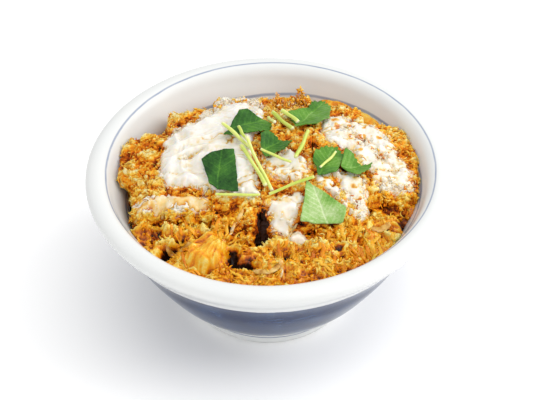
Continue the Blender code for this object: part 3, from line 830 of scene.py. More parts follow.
def build_slices():
    """Cover each cutlet slice with its craggy crumb crust."""
    built = []
    for index in range(1, 7):
        node = f"cutlet_slice_{index}"
        points, faces, normals = node_arrays(node, VOXEL)
        relief, tone = crust_relief(points, 40)
        cut = smooth_step(0.75, 0.95, np.abs(normals[:, 0]))
        egg = egg_share(points, normals)
        relief = relief * (1.0 - 0.5 * cut) * (1.0 + 0.5 * egg)
        # Painted shade: the crust's slopes that face the front are darker
        tone = tone - 0.14 * smooth_step(-0.35, -0.8, normals[:, 1]) * 0.7
        points = points + normals * relief[:, None]
        points[:, 0] += np.sign(normals[:, 0]) * CUT_CLOSE * cut
        near = points[:, 0] - CUT_X
        open_up = smooth_step(CUT_FRONT + 5.0, CUT_FRONT - 2.0, points[:, 1])
        open_up = np.exp(-(near / CUT_REACH) ** 2) * open_up
        points[:, 0] += np.sign(near) * CUT_WIDTH * open_up * smooth_step(*CUT_HEIGHTS, points[:, 2])
        # Painted shade: the open cut is darkened to near black along its ragged edges
        cut_shade_offset = near + 1.3 * noise(points, 2.8, 47)
        tone = tone - 1.6 * open_up * smooth_step(1.9, 1.1, np.abs(cut_shade_offset))
        gap_y, gap_half, gap_width = WALL_GAP
        gap = np.exp(-((points[:, 1] - gap_y) / gap_half) ** 4) * smooth_step(-52.0, -62.0, points[:, 0])
        points[:, 0] += gap_width * gap
        built.append([points, faces, normals, tone, egg])
    return built


def film_over(x, y):
    """Give how much thin egg white covers places on the food."""
    places = np.stack([x, y, np.zeros(len(x))], axis=1)
    wander = fractal(places, 4.0, 207, 3)
    near = smooth_step(-1.8, 1.4, sample(WHITE_DEPTH, x, y) + 2.8 * wander)
    thin = smooth_step(-0.2, 0.9, sample(FILM_SHARE, x, y) + 0.9 * wander) * sample(FILM_SHARE, x, y)
    return np.maximum(near, thin)


def add_slices(built, material):
    """Write the slices, with the egg white that wets them."""
    for index, (points, faces, normals, tone, egg) in enumerate(built):
        film = film_over(points[:, 0], points[:, 1]) * smooth_step(-0.2, 0.35, normals[:, 2])
        add_piece(f"crusted_slice_{index + 1}", points, faces, material,
                  [f"cutlet_slice_{index + 1}"], {"tone": tone, "egg": egg, "film": film})


# Egg bed

def bed_relief(points):
    """Give the folded, fibrous relief of the simmered egg."""
    warp = shifts(points, 9.0, 70) * 3.0
    folds = ridges(points + warp, 8.0, 75, 3)
    fine = ridges(points + warp * 0.5, 2.6, 79, 2)
    lump, value = clumps(points + warp * 0.3, 4.0, 84)
    crumb, crumb_value = clumps(points, 1.6, 88)
    flake = ridges(points + warp * 0.4, 1.8, 93, 2)
    relief = (2.7 * (folds - 0.6) + 1.0 * (fine - 0.5) + 0.8 * (0.55 - lump) + 0.4 * (0.5 - crumb)
              + 0.9 * (flake - 0.5))
    tone = (0.43 + 0.38 * (folds - 0.55) + 0.26 * (fine - 0.5) + 0.06 * value + 0.06 * crumb_value
            + 0.28 * (flake - 0.5) + 0.36 * fractal(points, 9.0, 91, 2))
    for centre_x, centre_y, half_x, half_y, shift in BED_PATCHES:
        reach = ((points[:, 0] - centre_x) / half_x) ** 2 + ((points[:, 1] - centre_y) / half_y) ** 2
        tone = tone + shift * np.exp(-reach)
    tone = np.where(tone > 0.62, 0.62 + 0.4 * (tone - 0.62), tone)
    return relief, soft_floor(tone, 0.2, 0.5)


def bed_base():
    """Give the CAD egg bed's height, carried on under the slices' front edges."""
    points, faces, _ = node_arrays("egg_bed")
    radius = np.hypot(FX, FY)
    inward = np.minimum(1.0, BED_RADIUS / np.maximum(radius, 0.001))
    height = seen_height(points, faces, radius < 68.0, BED_LEVEL, inward)
    under = np.full(FX.shape, -99.0)
    for left, right, front, back in SLICE_BOXES:
        under = np.maximum(under, np.minimum(np.minimum(FX - left, right - FX),
                                             np.minimum(FY - front, back - FY)))
    free = (under < -4.6).astype(float)
    filled = blur(height * free, 3.5) / np.maximum(blur(free, 3.5), 0.02)
    height = np.where(free > 0.5, height, filled)
    off_front = np.maximum(-under, 0.0)
    climb = BED_CLIMB * np.exp(-(off_front / 3.4) ** 2) * smooth_step(-18.0, -26.0, FY)
    height = height + climb * (0.7 + 0.9 * field_noise(7.0, 340, 2))
    return height + (BED_LEVEL - height) * smooth_step(0.5, 5.5, under)


def build_bed():
    """Give the simmered egg's height and tone."""
    height = bed_base()
    flat = FLAT.copy()
    flat[:, 2] = height.ravel()
    relief, tone = bed_relief(flat)
    height = height + 1.35 * relief.reshape(FX.shape) + 0.8
    right_wall = smooth_step(54.0, 60.0, np.hypot(FX, FY)) * smooth_step(-26.0, -14.0, FY)
    right_wall = right_wall * smooth_step(18.0, 30.0, FX)
    height = np.maximum(height, 58.0 + right_wall * (7.4 + 1.6 * field_noise(6.0, 345, 2)))
    # Painted shade: hollows in the egg are darker and rises paler
    cavity_shade = np.clip(height - blur(height, 1.6), -1.2, 1.2)
    tone = tone.reshape(FX.shape) + 0.34 * cavity_shade + 0.12 * right_wall
    for centre_x, centre_y, length, width, depth, turn in PITS:
        along, across = turned(FX, FY, centre_x, centre_y, turn)
        reach = np.sqrt((along / length) ** 2 + (across / width) ** 2) + 0.5 * PIT_WOBBLE
        hole = smooth_step(1.5, 0.2, reach)
        height = height - 0.8 * depth * hole
        # Painted shade: each pit is darkened towards black
        tone = tone - 0.95 * smooth_step(1.25, 0.5, reach)
    return height, tone


def add_bed(height, tone, material):
    """Write the egg bed, closed below inside the bowl's wall."""
    wall = wall_radius(height)
    used, faces, border = field_cells(np.hypot(FX, FY) < np.minimum(wall + 0.7, 67.5))
    count = len(used)
    top = np.stack([FX.ravel()[used], FY.ravel()[used], height.ravel()[used]], axis=1)
    rim, places = np.unique(border, return_inverse=True)
    places = places.reshape(-1, 2)
    lower = top[rim].copy()
    lower[:, 2] = BED_FLOOR
    squares = np.stack([border[:, 1], border[:, 0], places[:, 0] + count, places[:, 1] + count], axis=1)
    centre = count + len(rim)
    fan = np.stack([places[:, 1] + count, places[:, 0] + count, np.full(len(border), centre)], axis=1)
    points = np.vstack([top, lower, [[0.0, 0.0, BED_FLOOR]]])
    tones = np.r_[tone.ravel()[used], tone.ravel()[used][rim], 0.4]
    faces = np.vstack([faces, squares]).tolist() + fan.tolist()
    add_piece("simmered_egg", points, faces, material, ["egg_bed"], {"tone": tones})


def cutlet_height(built):
    """Give the height of the crusted slices, from above."""
    starts = np.cumsum([0] + [len(entry[0]) for entry in built])
    points = np.vstack([entry[0] for entry in built])
    faces = np.vstack([entry[1] + start for entry, start in zip(built, starts)])
    return seen_height(points, faces, np.hypot(FX, FY) < FOOD_RADIUS, 0.0)


# Egg white

def white_depth(outline):
    """Give how deep places lie inside an egg white's outline, less its golden gaps."""
    depth = depth_inside(outline, FX, FY)
    for start, end, half_width in WHITE_GAPS:
        depth = np.minimum(depth, beside(FX, FY, start, end)[1] - half_width)
    return depth


def build_whites(food, material):
    """Spread the soft egg white; give the food's height with it."""
    covered = food.copy()
    level = -highest(-highest(food, 2.5), 2.5)
    wander = field_noise(6.0, 301)
    swirl = ridges(FLAT + shifts(FLAT, 11.0, 310) * 6.0, 10.0, 315, 2).reshape(FX.shape)
    lumps = field_noise(2.6, 320)
    drift = FLAT + shifts(FLAT, 7.0, 330) * 4.0
    seam = np.abs(fractal(drift * (0.7, 1.6, 1.0), 13.0, 334, 2)).reshape(FX.shape)
    seam = smooth_step(0.075, 0.0, seam) * smooth_step(-0.3, 0.1, field_noise(10.0, 338, 2))
    speck = smooth_step(0.42, 0.7, np.abs(field_noise(3.2, 326, 2)) + 0.3 * field_noise(9.0, 324, 2))
    for index, (outline, soft, thick, fold, _) in enumerate(WHITES):
        depth = white_depth(outline) + 1.0 + 2.2 * wander + 1.4 * lumps
        base = blur(level, soft)
        rise = thick * smooth_step(-0.6, 4.0, depth) + fold * (swirl - 0.6) * smooth_step(1.0, 4.0, depth)
        rise = rise + LUMPS[index] * lumps - 1.5 * smooth_step(2.4, -0.9, depth) - 0.8 * seam
        top = base + rise
        gap = blur(top - food, 0.4)
        tone = (PALENESS[index] + 0.44 * smooth_step(-0.3, 1.3, gap) + 0.3 * (swirl - 0.6) + 0.14 * lumps
                - (SEAMS[index] * seam + SPECKS[index] * speck))
        keep = depth > -0.9
        field_solid(f"soft_egg_white_{index + 1}", keep, top, np.minimum(base, top) - 1.6, material,
                    [f"egg_white_{index + 1}"], {"tone": tone})
        covered = np.where(keep, np.maximum(covered, top), covered)
    return covered


# Crumbs

# A crumb is a jagged icosahedron, and a curl is a bent tube
GOLDEN = (1.0 + 5.0 ** 0.5) / 2.0
CRUMB_POINTS = np.array([np.roll((near, far, 0.0), shift) for shift in range(3)
                         for far in (GOLDEN, -GOLDEN) for near in (-1.0, 1.0)])
CRUMB_POINTS /= np.linalg.norm(CRUMB_POINTS[0])
CRUMB_FACES = np.array([
    (0, 11, 5), (0, 5, 1), (0, 1, 7), (0, 7, 10), (0, 10, 11), (1, 5, 9), (5, 11, 4), (11, 10, 2),
    (10, 7, 6), (7, 1, 8), (3, 9, 4), (3, 4, 2), (3, 2, 6), (3, 6, 8), (3, 8, 9), (4, 9, 5), (2, 4, 11),
    (6, 2, 10), (8, 6, 7), (9, 8, 1)])
CURL_STEPS = 5
CURL_SIDES = 4


def write_crumbs(name, points, pattern, shade, looks, material):
    """Write a row of points for each crumb, and the faces that all share, as one piece."""
    count, size = points.shape[:2]
    faces = (pattern[None] + size * np.arange(count)[:, None, None]).reshape(-1, 3)
    add_piece(name, points.reshape(-1, 3), faces, material, [],
              {"tone": shade.ravel(), "film": np.repeat(looks[1], size), "egg": np.repeat(looks[2], size)})


def add_crumbs(name, spots, facing, sizes, looks, material, seed):
    """Scatter one closed, jagged crumb at each spot, all in one piece."""
    rng = np.random.default_rng(seed)
    count = len(spots)
    shape = CRUMB_POINTS[None] * rng.uniform(0.55, 1.35, (count, 12, 1))
    stretch = np.stack([rng.uniform(1.0, 1.9, count), rng.uniform(0.55, 0.9, count),
                        rng.uniform(0.25, 0.5, count)], axis=1)
    shape = shape * stretch[:, None, :] * sizes[:, None, None]
    turn = rng.normal(size=(count, 4))
    turn /= np.linalg.norm(turn, axis=1, keepdims=True)
    w, x, y, z = turn.T
    matrix = np.stack([
        np.stack([1 - 2 * (y * y + z * z), 2 * (x * y - z * w), 2 * (x * z + y * w)], axis=1),
        np.stack([2 * (x * y + z * w), 1 - 2 * (x * x + z * z), 2 * (y * z - x * w)], axis=1),
        np.stack([2 * (x * z - y * w), 2 * (y * z + x * w), 1 - 2 * (x * x + y * y)], axis=1)], axis=1)
    placed = np.einsum("nij,nkj->nki", matrix, shape)
    # Painted light: the parts of a crumb that stand out are paler, those near the surface darker
    painted_light_height = np.einsum("nki,ni->nk", placed, facing) / sizes[:, None]
    shade = np.repeat(looks[0], 12) + 0.2 * painted_light_height.ravel() + rng.uniform(-0.05, 0.05, count * 12)
    write_crumbs(name, placed + spots[:, None, :], CRUMB_FACES, shade, looks, material)


def add_curls(name, spots, facing, sizes, looks, material, seed):
    """Scatter one thin, bent shaving of crumb at each spot, all in one piece."""
    rng = np.random.default_rng(seed)
    count = len(spots)
    heading = rng.normal(size=(count, 3))
    heading -= facing * (np.einsum("ni,ni->n", heading, facing) * rng.uniform(0.5, 0.95, count))[:, None]
    heading /= np.linalg.norm(heading, axis=1, keepdims=True)
    aside = np.cross(heading, facing + 0.01)
    aside /= np.linalg.norm(aside, axis=1, keepdims=True)
    rising = np.cross(aside, heading)
    bend = rng.uniform(0.2, 0.75, count) * rng.choice((-1.0, 1.0), count)
    arch = rng.uniform(0.0, 0.5, count)
    long = sizes * rng.uniform(1.3, 2.1, count)
    thick = sizes * rng.uniform(0.24, 0.42, count)
    points, shade = [], []
    for share in np.linspace(-1.0, 1.0, CURL_STEPS):
        middle = (spots + heading * (long * share)[:, None] + aside * (long * bend * share ** 2)[:, None]
                  + rising * (long * arch * (1.0 - share ** 2))[:, None])
        girth = thick * (1.0 - 0.72 * share ** 2) * rng.uniform(0.8, 1.25, count)
        for turn in np.linspace(0.0, 2.0 * math.pi, CURL_SIDES, endpoint=False):
            points.append(middle + (aside * math.cos(turn) + rising * 0.6 * math.sin(turn)) * girth[:, None])
            # Painted light: the upper side of each curl is slightly paler, the lower slightly darker
            shade.append(looks[0] + 0.05 * math.sin(turn) + rng.uniform(-0.04, 0.04, count))
    last = (CURL_STEPS - 1) * CURL_SIDES
    caps = [cap for side in range(1, CURL_SIDES - 1)
            for cap in ((0, side, side + 1), (last, last + side + 1, last + side))]
    quads = ring_faces(CURL_STEPS, CURL_SIDES)
    pattern = np.vstack([quads[:, [0, 1, 2, 0, 2, 3]].reshape(-1, 3), caps])
    write_crumbs(name, np.stack(points, axis=1), pattern, np.stack(shade, axis=1), looks, material)


def add_both(names, crumbs, spots, facing, sizes, looks, material, seeds):
    """Make crumbs at the first spots and curls at the others."""
    kinds = ((add_crumbs, slice(crumbs)), (add_curls, slice(crumbs, None)))
    for (add, part), name, seed in zip(kinds, names, seeds):
        add(name, spots[part], facing[part], sizes[part], [look[part] for look in looks], material, seed)


def crumb_tones(count, rng):
    """Give each crumb its own shift of tone: a few pale, a few dark."""
    kind = rng.random(count)
    tone = rng.uniform(-0.1, 0.12, count)
    tone = np.where(kind > 0.95, rng.uniform(0.12, 0.3, count), tone)
    return np.where(kind < 0.12, rng.uniform(-0.3, -0.12, count), tone)


def scatter_on_slices(built, material):
    """Scatter bread crumbs over the cutlet's crust."""
    rng = np.random.default_rng(51)
    for index, (points, faces, normals, tone, egg) in enumerate(built):
        corners = points[faces]
        area = 0.5 * np.linalg.norm(np.cross(corners[:, 1] - corners[:, 0],
                                             corners[:, 2] - corners[:, 0]), axis=1)
        facing = normals[faces].mean(axis=1)
        middle = corners.mean(axis=1)
        weight = area * (1.0 - smooth_step(0.7, 0.9, np.abs(facing[:, 0])) * (0 < index < 5))
        weight *= smooth_step(-0.5, -0.1, facing[:, 2]) * smooth_step(60.0, 62.0, middle[:, 2])
        weight *= sample(CRUMB_SHARE, middle[:, 0], middle[:, 1])
        crumbs = int(weight.sum() * CRUMBS_PER_AREA)
        count = crumbs + int(weight.sum() * CURLS_PER_AREA)
        chosen = rng.choice(len(faces), size=count, p=weight / weight.sum())
        a, b = rng.random(count), rng.random(count)
        flip = a + b > 1.0
        a, b = np.where(flip, 1.0 - a, a), np.where(flip, 1.0 - b, b)
        first, second, third = (corners[chosen, k] for k in range(3))
        spots = first + (second - first) * a[:, None] + (third - first) * b[:, None]
        sizes = CRUMB_SIZE[0] + CRUMB_SIZE[1] * rng.random(count) ** 2.5
        facing = facing[chosen]
        spots = spots + facing * (sizes * rng.uniform(-0.3, 0.35, count))[:, None]
        film = film_over(spots[:, 0], spots[:, 1]) * (rng.random(count) > 0.12)
        film = film * smooth_step(0.0, 0.5, facing[:, 2])
        tones = np.clip(tone[faces[chosen, 0]] + 0.04 + 0.8 * crumb_tones(count, rng), -0.6, 0.68)
        tones[crumbs:] += rng.uniform(-0.06, 0.22, count - crumbs)
        add_both((f"crumbs_{index + 1}", f"crumb_curls_{index + 1}"), crumbs, spots, facing, sizes,
                 (tones, 0.9 * film, 0.8 * egg[faces[chosen, 0]]), material, (60 + index, 80 + index))


def add_peaks(food, material):
    """Pile crumbs into the small peaks that stand up at the back."""
    rng = np.random.default_rng(54)
    spots = []
    for peak_x, peak_y, width, height, count in CRUMB_PEAKS:
        off = rng.normal(0.0, width, (count, 2))
        fall = np.exp(-(np.linalg.norm(off, axis=1) / width) ** 2)
        x, y = peak_x + off[:, 0], peak_y + off[:, 1]
        spots.append(np.stack([x, y, sample(food, x, y) + height * fall * rng.uniform(0.0, 1.0, count)],
                              axis=1))
    spots = np.vstack(spots)
    count = len(spots)
    facing = np.tile((0.0, 0.0, 1.0), (count, 1))
    looks = (0.54 + crumb_tones(count, rng), 0.4 * (rng.random(count) > 0.6), rng.uniform(0.0, 0.6, count))
    add_crumbs("crumb_peaks", spots, facing, rng.uniform(0.6, 1.2, count), looks, material, 72)


def scatter_on_bed(height, tone, open_bed, material):
    """Scatter soaked crumbs and curds of egg over the bed in front and beside the slices."""
    rng = np.random.default_rng(52)
    count = BED_CRUMBS + BED_CURLS
    turn = rng.uniform(0.0, 2.0 * math.pi, count * 4)
    reach = 64.0 * np.sqrt(rng.random(count * 4))
    x, y = reach * np.cos(turn), reach * np.sin(turn)
    taken = sample(open_bed, x, y) > rng.random(count * 4)
    x, y = x[taken][:count], y[taken][:count]
    count = len(x)
    sizes = BED_CRUMB_SIZE[0] + BED_CRUMB_SIZE[1] * rng.random(count) ** 2.0
    spots = np.stack([x, y, sample(height, x, y) + sizes * rng.uniform(-0.2, 0.5, count)], axis=1)
    keep = np.hypot(x, y) < wall_radius(spots[:, 2]) - 0.8
    spots, sizes = spots[keep], sizes[keep]
    tones = 0.4 + 0.5 * crumb_tones(len(spots), rng)
    tones = tones + 0.7 * (sample(tone, spots[:, 0], spots[:, 1]) - 0.44)
    # Painted shade: crumbs in the pits are darker
    tones = tones - 0.5 * (1.0 - sample(PIT_FREE, spots[:, 0], spots[:, 1]))
    facing = np.tile((0.0, -0.5, 0.87), (len(spots), 1))
    looks = (tones, np.zeros(len(spots)), rng.uniform(0.4, 1.0, len(spots)))
    crumbs = len(spots) * BED_CRUMBS // (BED_CRUMBS + BED_CURLS)
    tones[crumbs:] += rng.uniform(-0.1, 0.16, len(spots) - crumbs)
    add_both(("soaked_crumbs", "soaked_curls"), crumbs, spots, facing, sizes, looks, material, (70, 90))


# Strands, stems and onion

def tube(path, half_widths, half_heights, sides):
    """Give a closed tube along a path, flat or round, with its points and faces."""
    path = np.asarray(path, float)
    along = np.gradient(path, axis=0)
    along /= np.linalg.norm(along, axis=1, keepdims=True)
    across = np.cross(along, (0.0, 0.0, 1.0))
    across /= np.maximum(np.linalg.norm(across, axis=1, keepdims=True), 1e-6)
    upward = np.cross(across, along)
    turns = np.linspace(0.0, 2.0 * math.pi, sides, endpoint=False)
    ring = (across[:, None] * np.cos(turns)[None, :, None] * half_widths[:, None, None]
            + upward[:, None] * np.sin(turns)[None, :, None] * half_heights[:, None, None])
    points = (path[:, None] + ring).reshape(-1, 3)
    faces = ring_faces(len(path), sides).tolist()
    first, last = len(points), len(points) + 1
    end = (len(path) - 1) * sides
    for side in range(sides):
        following = (side + 1) % sides
        faces.append([side, following, first])
        faces.append([end + following, end + side, last])
    return np.vstack([points, path[:1], path[-1:]]), faces


def join(parts):
    """Join points, faces and tones of several shapes."""
    points, faces, tones, offset = [], [], [], 0
    for part_points, part_faces, part_tones in parts:
        points.append(part_points)
        faces.extend([[corner + offset for corner in face] for face in part_faces])
        tones.append(part_tones)
        offset += len(part_points)
    return np.vstack(points), faces, np.concatenate(tones)


def add_strands(food, material):
    """Hang fibres of egg over the slopes in front."""
    rng = np.random.default_rng(53)
    soft = blur(food, 0.9)
    parts = []
    for start_x, end_x, start_y, end_y, count, lean in STRAND_BEDS:
        for _ in range(count):
            x0 = rng.uniform(start_x, end_x)
            y0 = rng.uniform(start_y, end_y)
            length = rng.uniform(*STRAND_LENGTH)
            angle = math.radians(lean + rng.uniform(-STRAND_STRAY, STRAND_STRAY))
            run_x, run_y = math.cos(angle) * length, math.sin(angle) * length
            if sample(PIT_FREE, x0 + run_x * STRAND_CHECKS, y0 + run_y * STRAND_CHECKS).min() < 0.4:
                continue
            shares = np.linspace(0.0, 1.0, 22)
            bend = rng.uniform(-2.2, 2.2) * np.sin(math.pi * shares)
            wiggle = rng.uniform(0.2, 0.5) * np.sin(shares * rng.uniform(8.0, 16.0) + rng.uniform(0, 6))
            x = x0 + run_x * shares - math.sin(angle) * (bend + wiggle)
            y = y0 + run_y * shares + math.cos(angle) * (bend + wiggle)
            width = rng.uniform(*STRAND_HALF_WIDTH)
            taper = np.sin(math.pi * np.clip(shares, 0.06, 0.94)) ** 0.6
            z = sample(soft, x, y) + 0.15 + 0.5 * np.sin(math.pi * shares) * rng.random()
            squeeze = np.minimum(1.0, (wall_radius(z) - 1.0) / np.hypot(x, y))
            path = np.stack([x * squeeze, y * squeeze, z], axis=1)
            points, faces = tube(path, width * taper, 0.45 * width * taper, 8)
            tone = rng.uniform(0.4, 0.76) + 0.12 * noise(points, 2.0, 400)
            parts.append((points, faces, tone))
    points, faces, tones = join(parts)
    add_piece("egg_fibres", points, faces, material, [], {"tone": tones})


def add_ribbons(food, material):
    """Draw the pale strands of set egg that can be told in front."""
    parts = []
    for number, (corners, half_width) in enumerate(RIBBONS):
        corners = np.array(corners, float)
        shares = np.linspace(0.0, 1.0, len(corners))
        steps = np.linspace(0.0, 1.0, 40)
        x, y = (np.interp(steps, shares, corners[:, axis]) for axis in (0, 1))
        x = x + 0.4 * noise(np.stack([steps * 9.0, steps, steps], axis=1), 1.0, 600 + number)
        x, y = softened(x, 6), softened(y, 6)
        path = np.stack([x, y, sample(food, x, y) + 0.25], axis=1)
        path[1:-1, 2] = 0.5 * path[1:-1, 2] + 0.25 * (path[:-2, 2] + path[2:, 2])
        width = half_width * np.sin(math.pi * np.clip(steps, 0.08, 0.92)) ** 0.5
        points, faces = tube(path, width, 0.4 * width, 8)
        parts.append((points, faces, 0.36 + 0.3 * noise(points, 2.0, 610)))
    points, faces, tones = join(parts)
    add_piece("pale_ribbons", points, faces, material, [], {"tone": tones})


def add_fold(food, material):
    """Lay the golden fold of egg in front, wrinkled from its upper corner, with painted highlights on its
    wrinkles.
    """
    depth = depth_inside(FOLD_OUTLINE, FX, FY) + 0.6 * field_noise(4.0, 410)
    base = blur(food, 1.6)
    angle = np.arctan2(FY - FOLD_CORNER[1], FX - FOLD_CORNER[0])
    far = np.hypot(FY - FOLD_CORNER[1], FX - FOLD_CORNER[0])
    place = np.stack([angle.ravel() * 22.0, far.ravel() * 0.3, np.zeros(angle.size)], axis=1)
    place[:, 0] += 1.6 * noise(FLAT, 4.0, 415)
    wrinkle = ridges(place, 1.9, 420, 2).reshape(FX.shape)
    crinkle = ridges(FLAT + 1.4 * noise(FLAT, 3.0, 425)[:, None], 2.6, 428, 3).reshape(FX.shape)
    wrinkle = 0.55 * wrinkle + 0.45 * crinkle
    dome = 4.6 * smooth_step(-0.4, 5.0, depth)
    top = base + dome + 2.6 * (wrinkle - 0.6) * smooth_step(0.0, 2.0, depth)
    top = top - 1.2 * smooth_step(0.8, -0.8, depth)
    # Painted highlight on the wrinkles' crests and painted shade in their troughs; the fold is also darker
    # along its edge
    tone = 0.56 + 1.2 * (wrinkle - 0.6) + 0.06 * smooth_step(0.0, 4.0, depth)
    tone = tone - 0.1 * smooth_step(1.2, -0.4, depth)
    keep = depth > -0.9
    field_solid("egg_fold", keep, top, np.minimum(base, top) - 1.5, material, [], {"tone": tone})
    return np.where(keep, np.maximum(food, top), food)


def build_onions(food, material):
    """Lay the strips of simmered onion."""
    soft = blur(food, 1.2)
    for index, (centre_x, centre_y, radius, first, last, width) in enumerate(ONIONS):
        angles = np.radians(np.linspace(first, last, 40))
        x = centre_x + radius * np.cos(angles)
        y = centre_y + radius * np.sin(angles)
        shares = np.linspace(0.0, 1.0, 40)
        z = sample(soft, x, y) + 0.75 + 0.3 * np.sin(math.pi * shares)
        taper = np.clip(np.sin(math.pi * np.clip(shares, 0.03, 0.97)) * 3.0, 0.3, 1.0)
        points, faces = tube(np.stack([x, y, z - 0.35], axis=1), 0.5 * width * taper, 0.7 * taper, 14)
        points = points + 0.25 * noise(points, 2.0, 432)[:, None]
        tone = 0.46 + 0.4 * noise(points * (1.0, 1.0, 0.2), 1.6, 430)
        add_piece(f"onion_strip_{index + 1}", points, faces, material,
                  [f"onion_slice_{index + 1}"], {"tone": tone})


def resting_line(shares, needs):
    """Give both ends' heights of a straight rod that rests on the given heights."""
    best = None
    for i in range(len(shares)):
        for j in range(i + 1, len(shares)):
            slope = (needs[j] - needs[i]) / (shares[j] - shares[i])
            start = needs[i] - slope * shares[i]
            if np.all(start + slope * shares >= needs - 0.001):
                if best is None or start + slope * 0.5 < best[0]:
                    best = (start + slope * 0.5, start, start + slope)
    return best[1], best[2]


def build_stems(food, material):
    """Rest the cut stems on the food, one on another."""
    top = food.copy()
    shares = np.linspace(0.0, 1.0, STEM_STEPS)
    for index, (start, end, radius) in enumerate(STEMS):
        start, end = np.array(start), np.array(end)
        along = end - start
        length = np.linalg.norm(along)
        side = np.array([-along[1], along[0]]) / length
        bow = STEM_BOW * (1.0 if index % 2 else -1.0) * np.sin(math.pi * shares)
        bow = bow + 0.12 * np.sin(shares * 9.0 + index)
        x = start[0] + along[0] * shares + side[0] * bow
        y = start[1] + along[1] * shares + side[1] * bow
        needs = np.maximum.reduce([sample(top, x + side[0] * k, y + side[1] * k)
                                   for k in (-radius * 0.7, 0.0, radius * 0.7)])
        low, high = resting_line(shares, needs + radius * 0.8)
        nodes = []
        if index < STEM_NODES:
            nodes = [f"mitsuba_stem_{index + 1}"]
            solid = node_arrays(nodes[0])[0]
            place = ((solid[:, :2] - start) @ along) / length ** 2
            slope, first = np.polyfit(place, solid[:, 2], 1)
            held = LOWERED_STEMS.get(index, 1.0)
            low, high = low + held * max(first - low, 0.0), high + held * max(first + slope - high, 0.0)
        z = low + (high - low) * shares
        swell = radius * (1.0 + 0.08 * np.sin(shares * 7.0 + index))
        points, faces = tube(np.stack([x, y, z], axis=1), swell, swell * 0.9, STEM_SIDES)
        groove = np.tile(0.09 * np.cos(np.arange(STEM_SIDES) * math.pi / 2.0), STEM_STEPS)
        ends = np.maximum(smooth_step(0.06, 0.0, shares), smooth_step(0.94, 1.0, shares))
        tone = 0.6 + groove + 0.3 * np.repeat(ends, STEM_SIDES) + 0.1 * (index % 3 - 1)
        tone = np.r_[tone, 1.0, 1.0]
        tone = tone + 0.08 * noise(points, 2.5, 440 + index)
        add_piece(f"cut_stem_{index + 1}", points, faces, material, nodes, {"tone": tone})
        share, off = beside(FX, FY, start, end)
        arch = low + (high - low) * share + np.sqrt(np.maximum(radius ** 2 - off ** 2, 0.0))
        top = np.where(off < radius, np.maximum(top, arch), top)


# Leaves

def leaf_rim(outline, teeth, seed):
    """Give a leaf's edge as close points, straight cuts kept, with teeth where it grew."""
    corners = np.array(outline, float)
    ends = np.roll(corners, -1, axis=0)
    lengths = np.linalg.norm(ends - corners, axis=1)
    places = np.linspace(0.0, lengths.sum(), LEAF_RIM, endpoint=False)
    starts = np.r_[0.0, np.cumsum(lengths)[:-1]]
    which = np.searchsorted(starts, places, side="right") - 1
    share = ((places - starts[which]) / lengths[which])[:, None]
    rim = corners[which] * (1 - share) + ends[which] * share
    rim = softened(rim, 2, closed=True)
    ahead = np.roll(rim, -1, axis=0) - np.roll(rim, 1, axis=0)
    outward = np.stack([ahead[:, 1], -ahead[:, 0]], axis=1)
    outward /= np.linalg.norm(outward, axis=1, keepdims=True)
    if np.sum((rim - rim.mean(axis=0)) * outward) < 0.0:
        outward = -outward
    jagged = np.array([side in teeth for side in range(len(corners))])[which].astype(float)
    jagged = softened(jagged, 3, closed=True)
    phase = (places / LEAF_TOOTH) % 1.0
    tooth = np.where(phase < 0.7, phase / 0.7, (1.0 - phase) / 0.3) - 0.5
    flat = np.c_[rim, np.zeros(len(rim))]
    push = LEAF_TOOTH_DEPTH * tooth * jagged + 0.22 * noise(flat, 2.2, seed)
    return rim + outward * push[:, None]


def leaf_sheet(top, inside, centre, bent, node):
    """Give the height of a bent leaf that rests on the food, no lower than its node on the whole."""
    ceiling = highest(top, 1.0)
    x, y = FX - centre[0], FY - centre[1]
    terms = np.stack([np.ones_like(x), x, y, x * x, x * y, y * y], axis=2)
    factors = np.linalg.lstsq(terms[inside], ceiling[inside], rcond=None)[0]
    sheet = terms @ factors + bent
    sheet = sheet + np.percentile((ceiling + 0.3 - sheet)[inside], 80.0)
    points, faces, _ = node_arrays(node)
    solid = seen_height(points, faces, inside, points[:, 2].mean())
    sheet = sheet + np.clip(np.mean((solid - sheet)[inside]), 0.0, 6.0)
    for _ in range(3):
        short = np.where(inside, np.maximum(top + 0.25 - sheet, 0.0), 0.0)
        sheet = sheet + 1.3 * blur(short, 1.4)
    return sheet


def leaf_faces(rim, count):
    """Give the faces of a leaf: rings round a middle point on both sides, and the edge."""
    side = np.arange(LEAF_RIM)
    following = (side + 1) % LEAF_RIM
    quads = 1 + ring_faces(LEAF_RINGS, LEAF_RIM)
    middle = np.stack([0 * side, 1 + side, 1 + following], axis=1)
    edge = 1 + (LEAF_RINGS - 1) * LEAF_RIM
    walls = edge + np.stack([following, side, side + count, following + count], axis=1)
    faces = (quads.tolist() + middle.tolist() + walls.tolist()
             + (quads[:, ::-1] + count).tolist() + (middle[:, ::-1] + count).tolist())
    ahead = np.roll(rim, -1, axis=0)
    clockwise = np.sum(rim[:, 0] * ahead[:, 1] - rim[:, 1] * ahead[:, 0]) < 0.0
    return [face[::-1] for face in faces] if clockwise else faces


